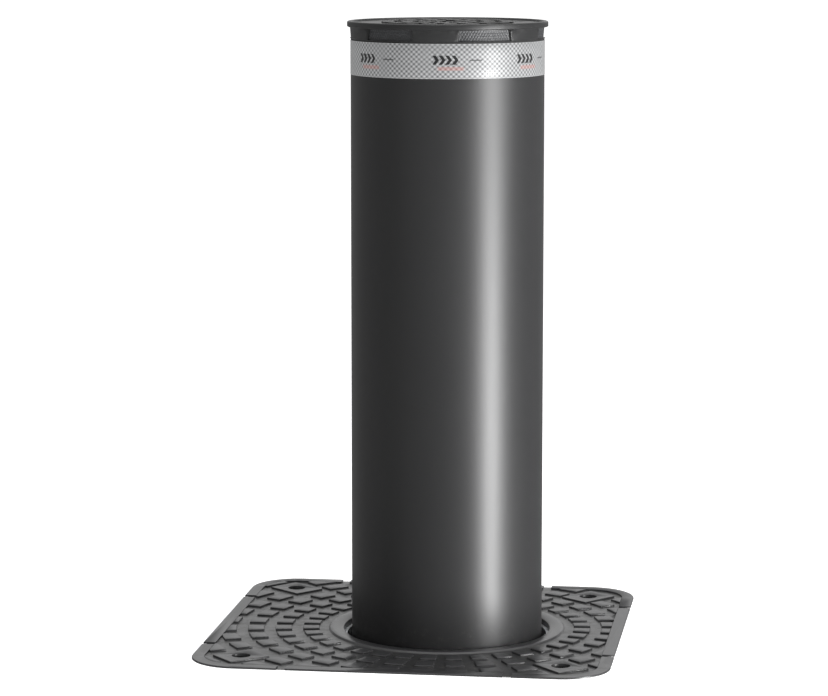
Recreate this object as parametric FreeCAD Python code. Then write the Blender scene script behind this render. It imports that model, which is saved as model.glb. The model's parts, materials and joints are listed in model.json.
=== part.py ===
"""Retractable bollard: a steel post that a ball screw lifts out of a pit casing.

Every sub-part is one STEP file in parts/, in millimetres.  +Z is up, the origin is on the
post's axis at the walking surface of the tread plate, and -Y is the front.  The post is
modelled raised.
"""
import FreeCAD, Part
import math
import os

# ---------------------------------------------------------------- driving dimensions (mm)
# Post
TUBE_OD = 220.0             # outside of the moving post
TUBE_WALL = 6.0
RISE = 700.0                # travel, and height of the head above the tread when raised
TUBE_OVERLAP = 232.0        # post left below the tread surface when raised
RUN_GAP = 0.4               # radial gap between sliding pieces
SEAT_GAP = 0.15             # gap between pieces that seat in each other

# Tread plate
PLATE_SIDE = TUBE_OD + 248.0
PLATE_CORNER_R = 55.0
PLATE_T = 12.0              # overall, relief included
RELIEF = 2.0                # height of the pads and rim over the field
EDGE_BREAK = 0.5            # chamfer on pads and rim
RIM_W = 14.0
RIM_SLOT_W = 10.0           # drainage gaps in the rim
RIM_SLOT_POS = 125.0        # from the plate's centre
BORE_GAP = 9.5              # post to plate bore
COLLAR_W = 17.5             # smooth ring around the bore
PAD_ROWS_GAP = 10.8         # collar to the first row of pads
PAD_RADIAL = 19.0
PAD_PITCH_R = 32.0
PADS_PER_TURN = 36
PAD_ANGLE = 6.2             # degrees covered by each pad
PAD_MIN = 3.5               # a clipped pad narrower than this is left out
BOLT_INSET = 55.0           # plate edge to the plate screws
BOLT_PAD = (50.0, 40.0)     # radial and tangential size of the pad round each screw
BOLT_PAD_GAP = 3.0
SCREW_D = 12.0
SCREW_HEAD_D = 18.0
SCREW_HEAD_H = 7.0
SCREW_POCKET_D = 21.0
SCREW_L = 38.0

# Head
HEAD_H = 20.0               # visible height of the head cap
LIP_R_OVER = 4.0            # lip beyond the post's radius
LIP_H = 6.5
SKIRT_OVER_TOP = 1.5
SKIRT_OVER_LOW = 0.8
HEAD_SPIGOT_L = 22.0
HEAD_WALL = 9.0             # radial wall behind the light windows
HEAD_TOP_T = 7.0
HEAD_RECESS = 2.4           # sunk top face inside the rim
HEAD_RIM_W = 5.0
LIGHTS = 6
LIGHT_ANGLE_TOP = 30.0
LIGHT_ANGLE_LOW = 33.0
LIGHT_FRAME = 1.0           # cap left below and above each window
LIGHT_FLARE = 1.5           # chamfer down each side of a window
LENS_SINK = 2.2
LENS_T = 3.0
BOARD_T = 1.6
BAND_H = 40.0
BAND_T = 0.35
CAP_SCREWS = 3
CAP_SCREW_PCD_R = 84.0
CAP_SCREW_D = 8.0
POST_D = 20.0
HEAD_PLATE_T = 12.0
HEAD_PLATE_DROP = 48.0      # head plate's top face below the head's top
GASKET_T = 1.5

# Guide unit
CARRIER_INSET = 14.0        # plate edge to carrier edge
CARRIER_CORNER_R = 45.0
CARRIER_T = 10.0
GUIDE_GAP = 19.0            # post to the inside of the guide tube
GUIDE_WALL = 4.5
BUSH_H = 60.0
BUSH_SCREWS = 6
STOP_SEAT_Z = -192.0        # top of the welded stop ring
STOP_SEAT_T = 12.0
STOP_BUFFER_T = 14.0
FLANGE_T = 22.0             # ring at the foot of the post
WEAR_H = 14.0
RAIL_W = 12.0
RAIL_DEPTH = 10.0
LOW_BUFFER_T = 24.0
BASE_T = 15.0
BASE_BOLTS = 6
WIPER_T = 6.0
WIPER_LIP_H = 1.1
WIPER_FLANGE_W = 14.0       # rubber flange clamped outside the scraping lip
NECK_GAP = 5.5              # post to the carrier's centring neck
NECK_DROP = 8.0             # tread surface to the top of the neck
SPIRAL_LEAD_OD = 28.0       # coil that feeds the lights
SPIRAL_LEAD_GAP = 3.0       # barrel foot to the coil
LOW_BUFFER_GAP = 6.0        # coil to the ring that the post lands on

# Lifting screw
BARREL_OD = 76.0
BARREL_WALL = 4.5
GLAND_OVER = 6.0            # gland beyond the barrel's radius
GLAND_H = 30.0
PUSH_OD = 50.0
PUSH_WALL = 4.5
PLUG_L = 18.0
NUT_L = 70.0
NUT_TO_GLAND = 12.0
SCREW_OD = 32.0
SCREW_LEAD = 25.0
JOURNAL_D = 25.0
BEARING_OD = 52.0
BEARING_T = 15.0
FOOT_OVER = 23.0            # foot flange beyond the barrel's radius
FOOT_H = 42.0
TIP_L = 15.0
END_GAP = 8.0               # least gap between pieces that come together end to end

# Drive
MOTOR_GAP = 8.5             # guide tube to motor
MOTOR_R = 39.0
GEARBOX_H = 62.0
MOTOR_H = 150.0
BRAKE_H = 44.0
PULLEY_W = 25.0
SCREW_PULLEY_TEETH = 48
MOTOR_PULLEY_TEETH = 24
TOOTH_PITCH = 5.0
BELT_T = 3.6
BELT_DROP = 8.0             # base plate to pulley
GUARD_WALL = 2.0
GUARD_DROP = 45.0
LEVER_L = 44.0

# Pit casing
CASE_INSET = 34.0           # plate edge to the casing's outer face
CASE_WALL = 4.0
BAY_GAP = 4.5               # unit base plate to the casing wall beside the drive
CASE_FRAME_T = 8.0
CASE_FLOOR_T = 5.0
SUMP = 50.0                 # clear depth under the drive guard
GUSSET = 58.0
DRAIN_D = 100.0
DRAIN_RING_H = 30.0
CONDUIT_D = 50.0
CONDUIT_WALL = 3.0
CONDUIT_Z = -320.0
ANCHOR_D = 8.0
ANCHOR_OUT = 28.0
ANCHOR_H = 120.0
ANCHOR_ROWS = (-300.0, -760.0)

# Wiring
JUNCTION_W = 110.0
JUNCTION_H = 90.0
JUNCTION_D = 52.0
JUNCTION_Z1 = -120.0
LID_T = 8.0
GLAND_Y = (-26.0, 26.0)
CABLE_D = 9.0

# ---------------------------------------------------------------- derived places
TUBE_R = TUBE_OD / 2
TUBE_RI = TUBE_R - TUBE_WALL
SLEEVE_R = TUBE_R + BAND_T + RUN_GAP     # what the banded post slides through
NECK_R = TUBE_R + NECK_GAP
PLATE_HALF = PLATE_SIDE / 2
CARRIER_HALF = PLATE_HALF - CARRIER_INSET
CASE_HALF = PLATE_HALF - CASE_INSET
CASE_IN = CASE_HALF - CASE_WALL
GUIDE_RI = TUBE_R + GUIDE_GAP
GUIDE_RO = GUIDE_RI + GUIDE_WALL
MOTOR_X = -(GUIDE_RO + MOTOR_GAP + MOTOR_R)
BASE_REACH_X = MOTOR_X - MOTOR_R - 1.0
BAY_X = BASE_REACH_X - BAY_GAP      # inner face of the casing wall beside the drive
PLATE_OFFSET_X = BAY_X + CASE_IN    # plate centre from the post's axis
CASE_X0 = PLATE_OFFSET_X - CASE_HALF
CASE_X1 = PLATE_OFFSET_X + CASE_HALF
FIELD_Z = -RELIEF
PLATE_Z0 = -PLATE_T
BORE_R = TUBE_R + BORE_GAP
COLLAR_R = BORE_R + COLLAR_W
PAD_R0 = COLLAR_R + PAD_ROWS_GAP
CARRIER_Z0 = PLATE_Z0 - CARRIER_T
FRAME_Z0 = CARRIER_Z0 - CASE_FRAME_T

HEAD_Z1 = RISE
SKIRT_Z0 = HEAD_Z1 - HEAD_H
LIP_Z0 = HEAD_Z1 - LIP_H
TUBE_Z1 = SKIRT_Z0 - GASKET_T
TUBE_Z0 = -TUBE_OVERLAP
BAND_Z1 = TUBE_Z1
BAND_Z0 = SKIRT_Z0 - BAND_H
SPIGOT_R = TUBE_RI - SEAT_GAP
HEAD_CEILING = HEAD_Z1 - HEAD_RECESS - HEAD_TOP_T
HEAD_HOLLOW_R = TUBE_R + SKIRT_OVER_LOW - HEAD_WALL - 6.0
HEAD_PLATE_Z1 = HEAD_Z1 - HEAD_PLATE_DROP
HEAD_PLATE_Z0 = HEAD_PLATE_Z1 - HEAD_PLATE_T

WIPER_Z0 = CARRIER_Z0 - WIPER_T
BUSH_Z1 = WIPER_Z0
BUSH_Z0 = BUSH_Z1 - BUSH_H
BUSH_SCREW_Z = BUSH_Z1 - BUSH_H / 2
STOP_Z0 = STOP_SEAT_Z - STOP_SEAT_T
STOP_BUFFER_Z0 = STOP_Z0 - STOP_BUFFER_T
FLANGE_Z1 = STOP_BUFFER_Z0 - RUN_GAP
FLANGE_Z0 = FLANGE_Z1 - FLANGE_T
FLANGE_R = GUIDE_RI - 2.0
WEAR_R = GUIDE_RI - RUN_GAP
LOW_BUFFER_Z1 = min(FLANGE_Z0, TUBE_Z0) - RISE - RUN_GAP
BASE_Z1 = LOW_BUFFER_Z1 - LOW_BUFFER_T
BASE_Z0 = BASE_Z1 - BASE_T

BARREL_R = BARREL_OD / 2
BARREL_RI = BARREL_R - BARREL_WALL
GLAND_R = BARREL_R + GLAND_OVER
FOOT_R = BARREL_R + FOOT_OVER
SPIRAL_LEAD_Y = FOOT_R + SPIRAL_LEAD_GAP + SPIRAL_LEAD_OD / 2
PUSH_R = PUSH_OD / 2
PUSH_RI = PUSH_R - PUSH_WALL
GLAND_Z1 = HEAD_PLATE_Z0 - RISE - END_GAP
GLAND_Z0 = GLAND_Z1 - GLAND_H
NUT_Z1 = GLAND_Z0 - NUT_TO_GLAND
NUT_Z0 = NUT_Z1 - NUT_L
NUT_R = BARREL_RI - RUN_GAP
SCREW_R = SCREW_OD / 2
TIP_Z1 = HEAD_PLATE_Z0 - PLUG_L - RISE - END_GAP
TIP_Z0 = TIP_Z1 - TIP_L
FOOT_Z1 = BASE_Z1 + FOOT_H
BEARING_Z0 = BASE_Z1
BEARING_Z1 = BEARING_Z0 + 2 * BEARING_T
JOURNAL_R = JOURNAL_D / 2

PULLEY_Z1 = BASE_Z0 - BELT_DROP
PULLEY_Z0 = PULLEY_Z1 - PULLEY_W
SCREW_PULLEY_R = SCREW_PULLEY_TEETH * TOOTH_PITCH / (2 * math.pi)
MOTOR_PULLEY_R = MOTOR_PULLEY_TEETH * TOOTH_PITCH / (2 * math.pi)
GUARD_Z0 = BASE_Z0 - GUARD_DROP
GEARBOX_Z1 = BASE_Z1 + GEARBOX_H
MOTOR_Z1 = GEARBOX_Z1 + MOTOR_H
BRAKE_Z1 = MOTOR_Z1 + BRAKE_H

CASE_FLOOR_Z1 = GUARD_Z0 - SUMP
CASE_Z0 = CASE_FLOOR_Z1 - CASE_FLOOR_T

Z = FreeCAD.Vector(0, 0, 1)


# ---------------------------------------------------------------- helpers
def vec(x, y, z):
    return FreeCAD.Vector(x, y, z)


def disc(r, z0, z1, x=0.0, y=0.0):
    """Upright cylinder."""
    return Part.makeCylinder(r, z1 - z0, vec(x, y, z0), Z)


def ring(ro, ri, z0, z1, x=0.0, y=0.0):
    """Upright tube."""
    over = 1.0
    return disc(ro, z0, z1, x, y).cut(disc(ri, z0 - over, z1 + over, x, y))


def block(x0, x1, y0, y1, z0, z1):
    return Part.makeBox(x1 - x0, y1 - y0, z1 - z0, vec(x0, y0, z0))


def turned(profile):
    """Solid of revolution about Z from (radius, height) points."""
    points = [vec(r, 0, z) for r, z in profile]
    wire = Part.makePolygon(points + [points[0]])
    return Part.Face(wire).revolve(vec(0, 0, 0), Z, 360)


def rod(r, start, end):
    """Cylinder between two points."""
    along = end - start
    return Part.makeCylinder(r, along.Length, start, along)


def at_angle(shape, degrees, x=0.0, y=0.0):
    """Copy of a shape turned about a vertical axis."""
    copy = shape.copy()
    copy.rotate(vec(x, y, 0), Z, degrees)
    return copy


def around(shape, count, start=0.0, x=0.0, y=0.0):
    return [at_angle(shape, start + 360.0 * i / count, x, y) for i in range(count)]


def on_circle(r, count, start):
    """Places on a circle round the post's axis, from a first angle in degrees."""
    angles = [math.radians(start + 360.0 * i / count) for i in range(count)]
    return [(r * math.cos(a), r * math.sin(a)) for a in angles]


def joined(shapes):
    """One solid from overlapping shapes."""
    first, rest = shapes[0], shapes[1:]
    return first.multiFuse(rest).removeSplitter() if rest else first


def rounded_square(half, corner, z0, z1, cx):
    """Square prism with round upright corners, centred at (cx, 0)."""
    prism = block(cx - half, cx + half, -half, half, z0, z1)
    upright = [e for e in prism.Edges if abs(e.tangentAt(e.FirstParameter).z) > 0.9]
    return prism.makeFillet(corner, upright)


def top_edges(shape, z):
    """Edges that lie in the plane at height z."""
    return [e for e in shape.Edges
            if abs(e.BoundBox.ZMin - z) < 1e-4 and abs(e.BoundBox.ZMax - z) < 1e-4]


def sector(r0, r1, angle, width, z0, z1):
    """Part of a ring, centred on an angle, both in degrees."""
    a0, a1 = math.radians(angle - width / 2), math.radians(angle + width / 2)
    am = math.radians(angle)

    def at(r, a):
        return vec(r * math.cos(a), r * math.sin(a), z0)

    edges = [
        Part.Arc(at(r1, a0), at(r1, am), at(r1, a1)).toShape(),
        Part.makeLine(at(r1, a1), at(r0, a1)),
        Part.Arc(at(r0, a1), at(r0, am), at(r0, a0)).toShape(),
        Part.makeLine(at(r0, a0), at(r1, a0)),
    ]
    return Part.Face(Part.Wire(edges)).extrude(vec(0, 0, z1 - z0))


def socket_screw(d, head_d, head_h, length, top, x, y, socket):
    """Socket head cap screw, head up, its head's top face at height top."""
    under = top - head_h
    body = joined([disc(head_d / 2, under, top, x, y), disc(d / 2, under - length, under + 0.5, x, y)])
    hexagon = hex_prism(socket, top - head_h * 0.6, top + 1.0, x, y)
    return body.cut(hexagon)


def hex_prism(across_flats, z0, z1, x=0.0, y=0.0):
    r = across_flats / math.sqrt(3)
    corners = [vec(x + r * math.cos(math.radians(60 * i + 30)),
                   y + r * math.sin(math.radians(60 * i + 30)), z0) for i in range(7)]
    return Part.Face(Part.makePolygon(corners)).extrude(vec(0, 0, z1 - z0))


def plate_screw_places():
    half = PLATE_HALF - BOLT_INSET
    return [(PLATE_OFFSET_X + sx * half, sy * half) for sx in (-1, 1) for sy in (-1, 1)]


# ---------------------------------------------------------------- tread plate
def tread_pads():
    """Rows of raised pads round the post, clipped at the rim."""
    screw_places = plate_screw_places()
    inner = rounded_square(PLATE_HALF - RIM_W, PLATE_CORNER_R - RIM_W, FIELD_Z - 1, 1, PLATE_OFFSET_X)
    reach = math.hypot(PLATE_HALF + abs(PLATE_OFFSET_X), PLATE_HALF)
    bolt_pads = [bolt_pad(x, y) for x, y in screw_places]
    pads = []
    r0 = PAD_R0
    while r0 < reach:
        for i in range(PADS_PER_TURN):
            angle = 360.0 * i / PADS_PER_TURN
            pad = sector(r0, r0 + PAD_RADIAL, angle, PAD_ANGLE, FIELD_Z - 1, 0)
            middle = vec((r0 + PAD_RADIAL / 2) * math.cos(math.radians(angle)),
                         (r0 + PAD_RADIAL / 2) * math.sin(math.radians(angle)), 0)
            close = [b for b in bolt_pads if middle.sub(b.CenterOfMass).Length < BOLT_PAD[0] + PAD_RADIAL]
            if any(pad.distToShape(b)[0] < BOLT_PAD_GAP for b in close):
                continue
            inside = pad.common(inner)
            if not inside.Solids:
                continue
            box = inside.BoundBox
            if min(box.XLength, box.YLength) < PAD_MIN or inside.Volume < 0.12 * pad.Volume:
                continue
            pads.append(chamfered_top(inside.Solids[0]))
        r0 += PAD_PITCH_R
    return pads + [chamfered_top(b.common(inner).Solids[0]) for b in bolt_pads]


def chamfered_top(solid):
    return solid.makeChamfer(EDGE_BREAK, top_edges(solid, 0.0))


def bolt_pad(x, y):
    """Raised pad round a plate screw, turned to face the post."""
    radial, across = BOLT_PAD
    r = math.hypot(x, y)
    pad = block(r - radial / 2, r + radial / 2, -across / 2, across / 2, FIELD_Z - 1, 0)
    return at_angle(pad, math.degrees(math.atan2(y, x)))


def rim():
    outer = rounded_square(PLATE_HALF, PLATE_CORNER_R, FIELD_Z - 1, 0, PLATE_OFFSET_X)
    outer = outer.makeChamfer(EDGE_BREAK, top_edges(outer, 0.0))
    inner = rounded_square(PLATE_HALF - RIM_W, PLATE_CORNER_R - RIM_W, FIELD_Z - 2, 1, PLATE_OFFSET_X)
    slots = []
    reach = PLATE_HALF + 5
    for s in (-RIM_SLOT_POS, RIM_SLOT_POS):
        slots.append(block(PLATE_OFFSET_X + s - RIM_SLOT_W / 2, PLATE_OFFSET_X + s + RIM_SLOT_W / 2,
                           -reach, reach, FIELD_Z, 1))
        slots.append(block(PLATE_OFFSET_X - reach, PLATE_OFFSET_X + reach,
                           s - RIM_SLOT_W / 2, s + RIM_SLOT_W / 2, FIELD_Z, 1))
    return outer.cut([inner] + slots).Solids


def tread_plate():
    slab = rounded_square(PLATE_HALF, PLATE_CORNER_R, PLATE_Z0, FIELD_Z, PLATE_OFFSET_X)
    slope = 0.8
    collar = turned([(BORE_R - 1, FIELD_Z - 1), (COLLAR_R, FIELD_Z - 1), (COLLAR_R, FIELD_Z),
                     (COLLAR_R - RELIEF * 0.9, 0), (COLLAR_R - 6.0, 0), (BORE_R + 1.2, -slope),
                     (BORE_R - 1, -slope - 1.2)])
    plate = joined([slab, collar] + rim() + tread_pads())
    cuts = [disc(BORE_R, PLATE_Z0 - 1, 1)]
    for x, y in plate_screw_places():
        cuts.append(disc(SCREW_POCKET_D / 2, PLATE_Z0 + 2.5, 1, x, y))
        cuts.append(disc(SCREW_D / 2 + 0.75, PLATE_Z0 - 1, 1, x, y))
    return plate.cut(cuts)


def plate_screws():
    head_top = PLATE_Z0 + 2.5 + SCREW_HEAD_H
    return [socket_screw(SCREW_D, SCREW_HEAD_D, SCREW_HEAD_H, SCREW_L, head_top, x, y, 10.0)
            for x, y in plate_screw_places()]


def wiper_seal():
    """Rubber scraper clamped between the carrier flange and the guide bush."""
    root_r = SLEEVE_R + 2.0
    return turned([(root_r + 1.0, WIPER_Z0), (SLEEVE_R + WIPER_FLANGE_W, WIPER_Z0),
                   (SLEEVE_R + WIPER_FLANGE_W, CARRIER_Z0), (NECK_R - 1.0, CARRIER_Z0),
                   (root_r, CARRIER_Z0 + WIPER_LIP_H), (SLEEVE_R, CARRIER_Z0 + WIPER_LIP_H),
                   (SLEEVE_R, CARRIER_Z0 - 1.0)])


# ---------------------------------------------------------------- guide unit
def carrier_flange():
    """Plate that carries the guide unit; its neck centres the tread plate."""
    plate = rounded_square(CARRIER_HALF, CARRIER_CORNER_R, CARRIER_Z0, PLATE_Z0, PLATE_OFFSET_X)
    body = joined([plate, disc(BORE_R - SEAT_GAP, CARRIER_Z0, -NECK_DROP)])
    cuts = [disc(NECK_R, CARRIER_Z0 - 1, 1)]
    cuts += [disc(SCREW_D / 2 + 0.75, CARRIER_Z0 - 1, PLATE_Z0 + 1, x, y) for x, y in plate_screw_places()]
    return body.cut(cuts)


def outer_guide_tube():
    """Long tube that the post's foot runs in, drilled for bush screws and sensors."""
    shell = ring(GUIDE_RO, GUIDE_RI, BASE_Z1, CARRIER_Z0)
    cuts = bush_screw_bores(4.5)
    for z in (raised_sensor_z(), lowered_sensor_z()):
        cuts.append(rod(9.3, vec(0, GUIDE_RI - 5, z), vec(0, GUIDE_RO + 5, z)))
    return shell.cut(cuts)


def bush_screw_bores(r):
    bore = rod(r, vec(GUIDE_RI - 12, 0, BUSH_SCREW_Z), vec(GUIDE_RO + 5, 0, BUSH_SCREW_Z))
    return around(bore, BUSH_SCREWS, 30.0)


def upper_guide_bush():
    body = ring(GUIDE_RI - SEAT_GAP, SLEEVE_R, BUSH_Z0, BUSH_Z1)
    return body.cut(bush_screw_bores(3.6))


def bush_screws():
    z = BUSH_SCREW_Z
    body = joined([rod(3.4, vec(GUIDE_RI - 11.5, 0, z), vec(GUIDE_RO + 1, 0, z)),
                   rod(7.0, vec(GUIDE_RO + 0.2, 0, z), vec(GUIDE_RO + 4.5, 0, z))])
    socket = rod(2.3, vec(GUIDE_RO + 1.8, 0, z), vec(GUIDE_RO + 6, 0, z))
    return around(body.cut(socket), BUSH_SCREWS, 30.0)


def stop_ring():
    return ring(GUIDE_RI - SEAT_GAP, TUBE_R + 3.0, STOP_Z0, STOP_SEAT_Z)


def upper_stop_buffer():
    return ring(GUIDE_RI - 1.0, TUBE_R + 4.0, STOP_BUFFER_Z0, STOP_Z0)


def rail_cut(extra):
    """Space of the anti-rotation rail, grown by a clearance."""
    return block(GUIDE_RI - RAIL_DEPTH - extra, GUIDE_RI + 5, -RAIL_W / 2 - extra, RAIL_W / 2 + extra,
                 BASE_Z0 - 5, HEAD_Z1)


def anti_rotation_rail():
    blank = block(GUIDE_RI - RAIL_DEPTH, GUIDE_RI + 5, -RAIL_W / 2, RAIL_W / 2,
                  BASE_Z1, STOP_BUFFER_Z0 - 1.0)
    return blank.common(disc(GUIDE_RI, BASE_Z1, STOP_BUFFER_Z0 - 1.0))


def unit_base_plate():
    r = GUIDE_RO + 6.0
    plate = joined([disc(r, BASE_Z0, BASE_Z1),
                    block(BASE_REACH_X, 0, -MOTOR_R - 6, MOTOR_R + 6, BASE_Z0, BASE_Z1)])
    cuts = [disc(BEARING_OD / 2 - 6, BASE_Z0 - 1, BASE_Z1 + 1),
            disc(16.0, BASE_Z0 - 1, BASE_Z1 + 1, MOTOR_X)]
    cuts += [disc(8.0, BASE_Z0 - 1, BASE_Z1 + 1, x, y) for x, y in weep_hole_places()]
    cuts += [disc(3.4, BASE_Z0 - 1, BASE_Z1 + 1, x, y) for x, y in motor_bolt_places()]
    cuts += [disc(4.2, BASE_Z0 - 1, BASE_Z1 + 1, x, y) for x, y in foot_bolt_places()]
    return plate.cut(cuts)


def weep_hole_places():
    r = (TUBE_RI + FOOT_R) / 2 + 6
    return on_circle(r, 4, 45.0)


def motor_bolt_places():
    r = MOTOR_R - 9.0
    return [(MOTOR_X + x, y) for x, y in on_circle(r, 4, 45.0)]


def foot_bolt_places():
    r = FOOT_R - 10.0
    return on_circle(r, BASE_BOLTS, 30.0)


def lower_buffer():
    ro = GUIDE_RI - RAIL_DEPTH - 2.0
    ri = SPIRAL_LEAD_Y + SPIRAL_LEAD_OD / 2 + LOW_BUFFER_GAP
    return ring(ro, ri, BASE_Z1, LOW_BUFFER_Z1)


def lower_guide_flange():
    """Steel ring welded round the foot of the post."""
    return ring(FLANGE_R, TUBE_R, FLANGE_Z0, FLANGE_Z1).cut(
        [rail_cut(1.0), ring(WEAR_R + 2, WEAR_R - 4.0, wear_z0(), wear_z0() + WEAR_H)])


def wear_z0():
    return (FLANGE_Z0 + FLANGE_Z1 - WEAR_H) / 2


def lower_wear_ring():
    band = ring(WEAR_R, WEAR_R - 4.0, wear_z0(), wear_z0() + WEAR_H)
    return band.cut(rail_cut(1.0))


def raised_sensor_z():
    return (FLANGE_Z0 + FLANGE_Z1) / 2


def lowered_sensor_z():
    return raised_sensor_z() - RISE


def limit_sensors():
    """Inductive sensors that look at the post's foot ring through the guide tube."""
    tip = GUIDE_RI + 0.6
    found = []
    for z in (raised_sensor_z(), lowered_sensor_z()):
        barrel = rod(9.0, vec(0, tip, z), vec(0, tip + 42, z))
        gland = rod(7.0, vec(0, tip + 41, z), vec(0, tip + 52, z))
        found.append(joined([barrel, gland]))
    return found


def sensor_lock_nuts():
    nuts = []
    for z in (raised_sensor_z(), lowered_sensor_z()):
        blank = hex_prism(24.0, 0, 4.0)
        nut = blank.cut(disc(9.0 + SEAT_GAP, -1, 5))
        nut.rotate(vec(0, 0, 0), vec(1, 0, 0), -90)
        nut.translate(vec(0, GUIDE_RO + 0.3, z))
        nuts.append(nut)
    return nuts


# ---------------------------------------------------------------- moving post
def lift_tube():
    return ring(TUBE_R, TUBE_RI, TUBE_Z0, TUBE_Z1)


def reflective_band():
    return ring(TUBE_R + BAND_T, TUBE_R, BAND_Z0, BAND_Z1)


def light_angles():
    return [360.0 * i / LIGHTS for i in range(LIGHTS)]


def window_half_width(z):
    """Half the width of a light window at a height."""
    share = (z - SKIRT_Z0) / (LIP_Z0 - SKIRT_Z0)
    angle = LIGHT_ANGLE_LOW + (LIGHT_ANGLE_TOP - LIGHT_ANGLE_LOW) * share
    return TUBE_R * math.sin(math.radians(angle / 2))


def window_prism(z0, z1, r0, r1):
    """Trapezoid opening in the skirt at angle 0, wider at its foot."""
    low, high = window_half_width(z0), window_half_width(z1)
    corners = [vec(0, -low, z0), vec(0, low, z0), vec(0, high, z1), vec(0, -high, z1)]
    wire = Part.makePolygon(corners + [corners[0]])
    prism = Part.Face(wire).extrude(vec(r1 + 20, 0, 0))
    return prism.common(ring(r1, r0, z0, z1))


def window_flare(sign):
    """What the chamfer down one side of the window at angle 0 takes away."""
    z0, z1 = window_span()
    low, high = window_half_width(z0), window_half_width(z1)
    edge_x = (TUBE_R + SKIRT_OVER_LOW) * math.cos(math.radians(LIGHT_ANGLE_LOW / 2))
    x0, run, inside = edge_x - LIGHT_FLARE, LIGHT_FLARE + 6.0, 3.0
    plan = [(x0, low), (x0 + run, low + run), (x0 + run, low - inside), (x0, low - inside)]
    corners = [vec(x, sign * y, z0) for x, y in plan]
    return Part.Face(Part.makePolygon(corners + [corners[0]])).extrude(vec(0, sign * (high - low), z1 - z0))


def window_span():
    return SKIRT_Z0 + LIGHT_FRAME, LIP_Z0 - LIGHT_FRAME * 0.3


def head_cap():
    """Cast crown: spigot in the post, skirt with light windows, overhanging lip, sunk top."""
    skirt_low, skirt_top = TUBE_R + SKIRT_OVER_LOW, TUBE_R + SKIRT_OVER_TOP
    lip = TUBE_R + LIP_R_OVER
    top_face = HEAD_Z1 - HEAD_RECESS
    body = turned([
        (0, HEAD_CEILING), (HEAD_HOLLOW_R, HEAD_CEILING), (HEAD_HOLLOW_R, SKIRT_Z0 - HEAD_SPIGOT_L),
        (SPIGOT_R - 1.5, SKIRT_Z0 - HEAD_SPIGOT_L), (SPIGOT_R, SKIRT_Z0 - HEAD_SPIGOT_L + 1.5),
        (SPIGOT_R, SKIRT_Z0), (skirt_low - 1.0, SKIRT_Z0), (skirt_low, SKIRT_Z0 + 1.0),
        (skirt_top, LIP_Z0), (lip - 0.8, LIP_Z0), (lip, LIP_Z0 + 0.8), (lip, HEAD_Z1 - 1.6),
        (lip - 0.5, HEAD_Z1 - 0.5), (lip - 1.6, HEAD_Z1), (lip - HEAD_RIM_W, HEAD_Z1),
        (lip - HEAD_RIM_W - 1.5, top_face), (0, top_face)])
    relief = head_relief(top_face)
    z0, z1 = window_span()
    window = window_prism(z0, z1, window_floor_r(), lip + 5)
    cuts = [at_angle(cut, a) for a in light_angles() for cut in (window, window_flare(-1), window_flare(1))]
    sink_r = CAP_SCREW_D + 0.5
    for x, y in cap_screw_places():
        cuts.append(disc(CAP_SCREW_D / 2 + 0.5, HEAD_CEILING - 1, HEAD_Z1, x, y))
        cuts.append(turned_at([(0, top_face - 4.5), (CAP_SCREW_D / 2 + 0.5, top_face - 4.5),
                               (sink_r, top_face), (sink_r, HEAD_Z1), (0, HEAD_Z1)], x, y))
    return joined([body] + relief).cut(cuts)


def window_floor_r():
    return TUBE_R + SKIRT_OVER_LOW - HEAD_WALL


def turned_at(profile, x, y):
    shape = turned(profile)
    shape.translate(vec(x, y, 0))
    return shape


def head_relief(face_z):
    """Raised anti-slip pads on the sunk top face, in rings like the tread plate's."""
    height = HEAD_RECESS - 0.5
    solids = []
    for r0, count, cover in ((20.0, 6, 0.62), (41.0, 12, 0.62), (62.0, 18, 0.62)):
        for i in range(count):
            angle = 360.0 * i / count
            solids.append(sector(r0, r0 + 13.0, angle, 360.0 / count * cover, face_z - 1, face_z + height))
    return [chamfer_at(s, face_z + height, 0.4) for s in solids]


def chamfer_at(solid, z, size):
    return solid.makeChamfer(size, top_edges(solid, z))


def cap_screw_places():
    return on_circle(CAP_SCREW_PCD_R, CAP_SCREWS, 30.0)


def cap_screws():
    """Countersunk socket screws in the head's top face."""
    top = HEAD_Z1 - HEAD_RECESS - 0.3
    tip = HEAD_PLATE_Z1 + 4.0
    found = []
    for x, y in cap_screw_places():
        body = turned_at([(0, tip), (CAP_SCREW_D / 2, tip), (CAP_SCREW_D / 2, top - 4.4),
                          (CAP_SCREW_D, top - 0.2), (CAP_SCREW_D, top), (0, top)], x, y)
        found.append(body.cut(hex_prism(5.0, top - 3.0, top + 1, x, y)))
    return found


def head_gasket():
    return ring(TUBE_R - 0.3, TUBE_RI + 0.2, TUBE_Z1, SKIRT_Z0)


def light_lenses():
    z0, z1 = window_span()
    r1 = TUBE_R + SKIRT_OVER_LOW - LENS_SINK
    lens = window_prism(z0 + SEAT_GAP, z1 - SEAT_GAP, r1 - LENS_T, r1)
    trimmed = lens.cut([side_trim(s) for s in (-1, 1)])
    return [at_angle(trimmed, a) for a in light_angles()]


def side_trim(sign):
    """Thin wedge that keeps a lens clear of its window's sloping side."""
    def y_at(z):
        return sign * (window_half_width(z) - SEAT_GAP)

    far = sign * TUBE_R
    wire = Part.makePolygon([vec(0, y_at(SKIRT_Z0), SKIRT_Z0), vec(0, far, SKIRT_Z0), vec(0, far, LIP_Z0),
                             vec(0, y_at(LIP_Z0), LIP_Z0), vec(0, y_at(SKIRT_Z0), SKIRT_Z0)])
    return Part.Face(wire).extrude(vec(TUBE_R + 20, 0, 0))


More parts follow.
